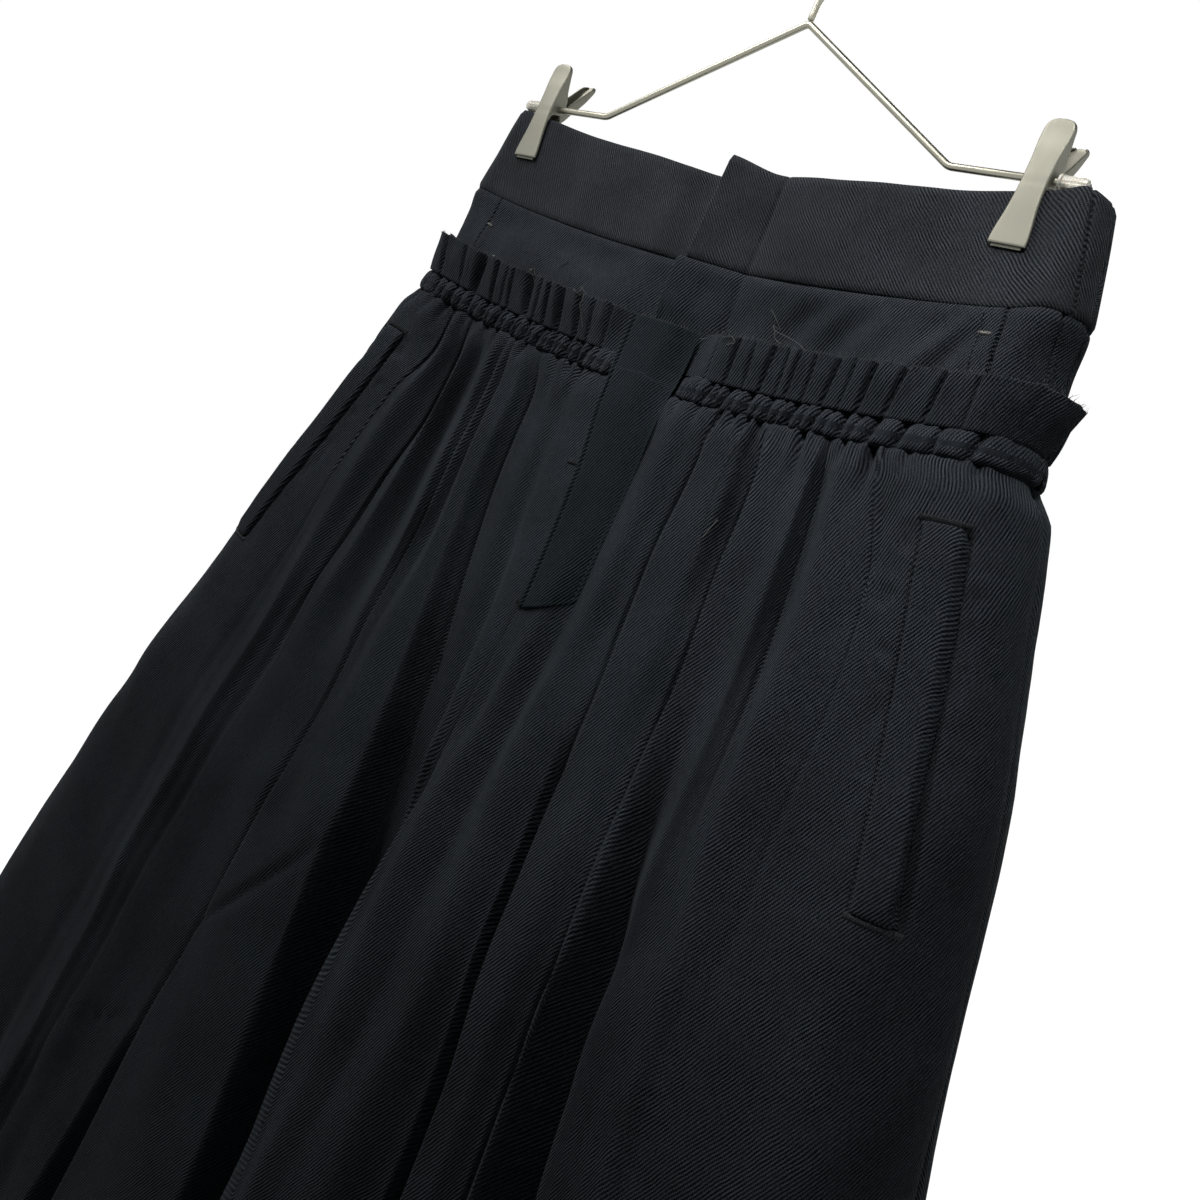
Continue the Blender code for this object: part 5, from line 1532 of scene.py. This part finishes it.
FRONT_PLATE = np.array((
    # height, half width, outer face, edge of the flange
    (-90.0, 3.0, -4.8, -3.4), (-90.6, 5.0, -4.9, -3.2), (-92.2, 6.5, -5.0, -3.0), (-95.0, 7.2, -5.1, -2.6),
    (-99.0, 7.2, -5.4, -1.6), (-104.0, 6.8, -5.9, 0.2), (-109.0, 6.4, -6.2, 2.8), (-113.0, 6.3, -6.4, 3.6),
    (-117.6, 6.2, -6.6, 3.0), (-119.6, 6.2, -6.6, -2.4), (-122.0, 6.3, -6.7, -4.6),
    (-127.0, 6.6, -6.7, -5.0), (-134.0, 7.4, -6.6, -5.0), (-141.0, 8.5, -6.5, -5.1),
    (-146.0, 9.0, -6.5, -5.1), (-148.0, 9.0, -6.5, -5.1),
))
REAR_PLATE = np.array((
    (-89.8, 2.6, 22.4, 20.8), (-90.8, 4.4, 22.2, 19.4), (-93.5, 5.3, 21.2, 17.6), (-101.0, 5.3, 17.9, 12.4),
    (-108.0, 5.2, 14.0, 7.6), (-113.0, 5.1, 11.0, 4.6), (-117.8, 5.0, 8.4, 3.0), (-120.5, 5.0, 6.6, 4.6),
    (-127.0, 5.4, 3.6, 2.4), (-136.0, 6.4, 2.6, 1.6), (-147.6, 7.4, 2.4, 1.4),
))


def bent_plate(name, node, x, table, toward):
    """Plate bent from thin sheet: a face with a rolled edge that runs down into a flange on both sides."""
    top, low = table[0, 0], table[-1, 0]
    heights = np.concatenate([np.linspace(top, top - 4, 16), np.linspace(top - 5, low, 70)])
    half, face, tip = [curve(table[:, 0], table[:, k], heights)[:, None] for k in (1, 2, 3)]
    deep = np.abs(tip - face)
    bend = np.minimum(1.2, 0.75 * deep)
    turn = np.linspace(0, np.pi / 2, 6)[None, :]
    across = np.linspace(-1, 1, 13)[None, 1:-1]
    wall = np.linspace(1, 0, 6)[None, :-1]
    left = [
        (-half + 0 * wall, face + toward * (bend + (deep - bend) * wall)),
        (-half + bend * (1 - np.cos(turn)), face + toward * bend * (1 - np.sin(turn))),
    ]
    middle = [((half - bend) * across, face - toward * 0.12 * (1 - across ** 2) + 0 * half)]
    right = [(-px[:, ::-1], py[:, ::-1]) for px, py in left[::-1]]
    xs, ys = [np.concatenate([part[k] for part in left + middle + right], axis=1) for k in (0, 1)]
    grid = np.stack([x + xs, ys, heights[:, None] + 0 * xs], axis=-1)
    sheet_piece(name, node, grid, -toward, 0.8, NICKEL, grid[..., (0, 2)])


def rounded(before, corner, after, radius):
    """Arc that rounds the corner between two straight runs, in x and z."""
    corner = np.array(corner)
    one, two = np.array(before) - corner, np.array(after) - corner
    one, two = one / np.linalg.norm(one), two / np.linalg.norm(two)
    half = math.acos(float(one @ two)) / 2
    away = radius / math.tan(half)
    middle = corner + (one + two) / np.linalg.norm(one + two) * radius / math.sin(half)
    start, end = corner + one * away - middle, corner + two * away - middle
    sweep = math.atan2(start[0] * end[1] - start[1] * end[0], float(start @ end))
    return [
        (middle[0] + start[0] * math.cos(turn) - start[1] * math.sin(turn),
         middle[1] + start[0] * math.sin(turn) + start[1] * math.cos(turn))
        for turn in np.linspace(0, sweep, 14)
    ]


def drawn_wire(name, node, route):
    """Round wire along a route in x and z, its cut ends a little rounded."""
    line = [np.array((x, 0.0, z)) for x, z in route]
    first = (line[1] - line[0]) / np.linalg.norm(line[1] - line[0])
    last = (line[-1] - line[-2]) / np.linalg.norm(line[-1] - line[-2])
    line = [line[0], line[0] + 0.25 * first, line[0] + 0.8 * first] + line[1:-1] + [
        line[-1] - 0.8 * last, line[-1] - 0.25 * last, line[-1]]
    radius = np.full(len(line), WIRE_RADIUS)
    radius[[0, -1]] *= 0.62
    radius[[1, -2]] *= 0.90
    tubes(name, node, [(np.array(line), radius)], WIRE_NICKEL, sides=20)


# Radii of the bar's bends and of the bend under the hook; the hook's turn at its stem, and its whole sweep
BAR_BEND = 9.0
APEX_BEND = 4.5
HOOK_STEM_TURN = -52
HOOK_SWEEP = 245


def make_wire():
    ends = (-WIRE_END_X, WIRE_BAR), (WIRE_END_X, WIRE_BAR)
    bends = (-WIRE_BEND_X, WIRE_BAR), (WIRE_BEND_X, WIRE_BAR)
    apex = (0.0, WIRE_APEX + 2.2)
    route = [ends[0]] + rounded(ends[0], bends[0], apex, BAR_BEND)
    route += rounded(bends[0], apex, bends[1], APEX_BEND)
    route += rounded(apex, bends[1], ends[1], BAR_BEND) + [ends[1]]
    drawn_wire("wire_bar", "hanger_wire", route)
    return max(z for _, z in route)


def make_hook(foot):
    """Question-mark hook; the top of its inner curve is the origin."""
    radius = HOOK_INNER + WIRE_RADIUS
    centre = -HOOK_INNER
    stem_top = centre - radius - 9.0
    join = math.radians(HOOK_STEM_TURN)
    low = foot + WIRE_RADIUS + 0.4
    end = (radius * math.cos(join), centre + radius * math.sin(join))
    route = [(0.0, low), (0.0, (low + stem_top) / 2), (0.0, stem_top)]
    for t in np.linspace(0.1, 0.9, 9):
        route.append((end[0] * t * t, stem_top + (end[1] - stem_top) * (2 * t - t * t)))
    turn = join + np.radians(HOOK_SWEEP) * np.linspace(0, 1, 48)
    route += [(radius * math.cos(a), centre + radius * math.sin(a)) for a in turn]
    drawn_wire("wire_hook", "hanger_hook", route)


def make_hanger():
    for name, side in (("right", 1), ("left", -1)):
        bent_plate("clip_plate_front_" + name, "clip_%s_front" % name, side * CLIP_X, FRONT_PLATE, 1)
        bent_plate("clip_plate_rear_" + name, "clip_%s_rear" % name, side * CLIP_X, REAR_PLATE, -1)
    make_hook(make_wire())
    for node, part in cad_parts.items():
        for word, material in (("_spring", WIRE_NICKEL), ("_liner", NICKEL), ("_roller", PLASTIC)):
            if word in node:
                part.data.materials.clear()
                part.data.materials.append(material)


# ---------------------------------------------------------------- all of it


def main():
    make_camera()
    make_light()
    make_stage()
    right, left = [make_panel(*row) for row in PANELS][:2]
    waist = make_waistband() + make_yoke()
    make_casing()
    frills = make_frill()
    seam = np.stack([left[:, 0], right[:, 0]], axis=1)
    front = [raised(grid) for grid in (right, left, seam)]
    tree = tree_of(front)
    placket = make_placket(tree)
    make_welt("right", 1, tree)
    make_welt("left", -1, tree)
    waist_tree = tree_of(front + waist + frills[:2])
    make_stitches(tree, waist_tree)
    make_fray(waist_tree, frills, placket)
    make_hanger()
    bpy.context.scene.view_settings.view_transform = "Standard"


main()
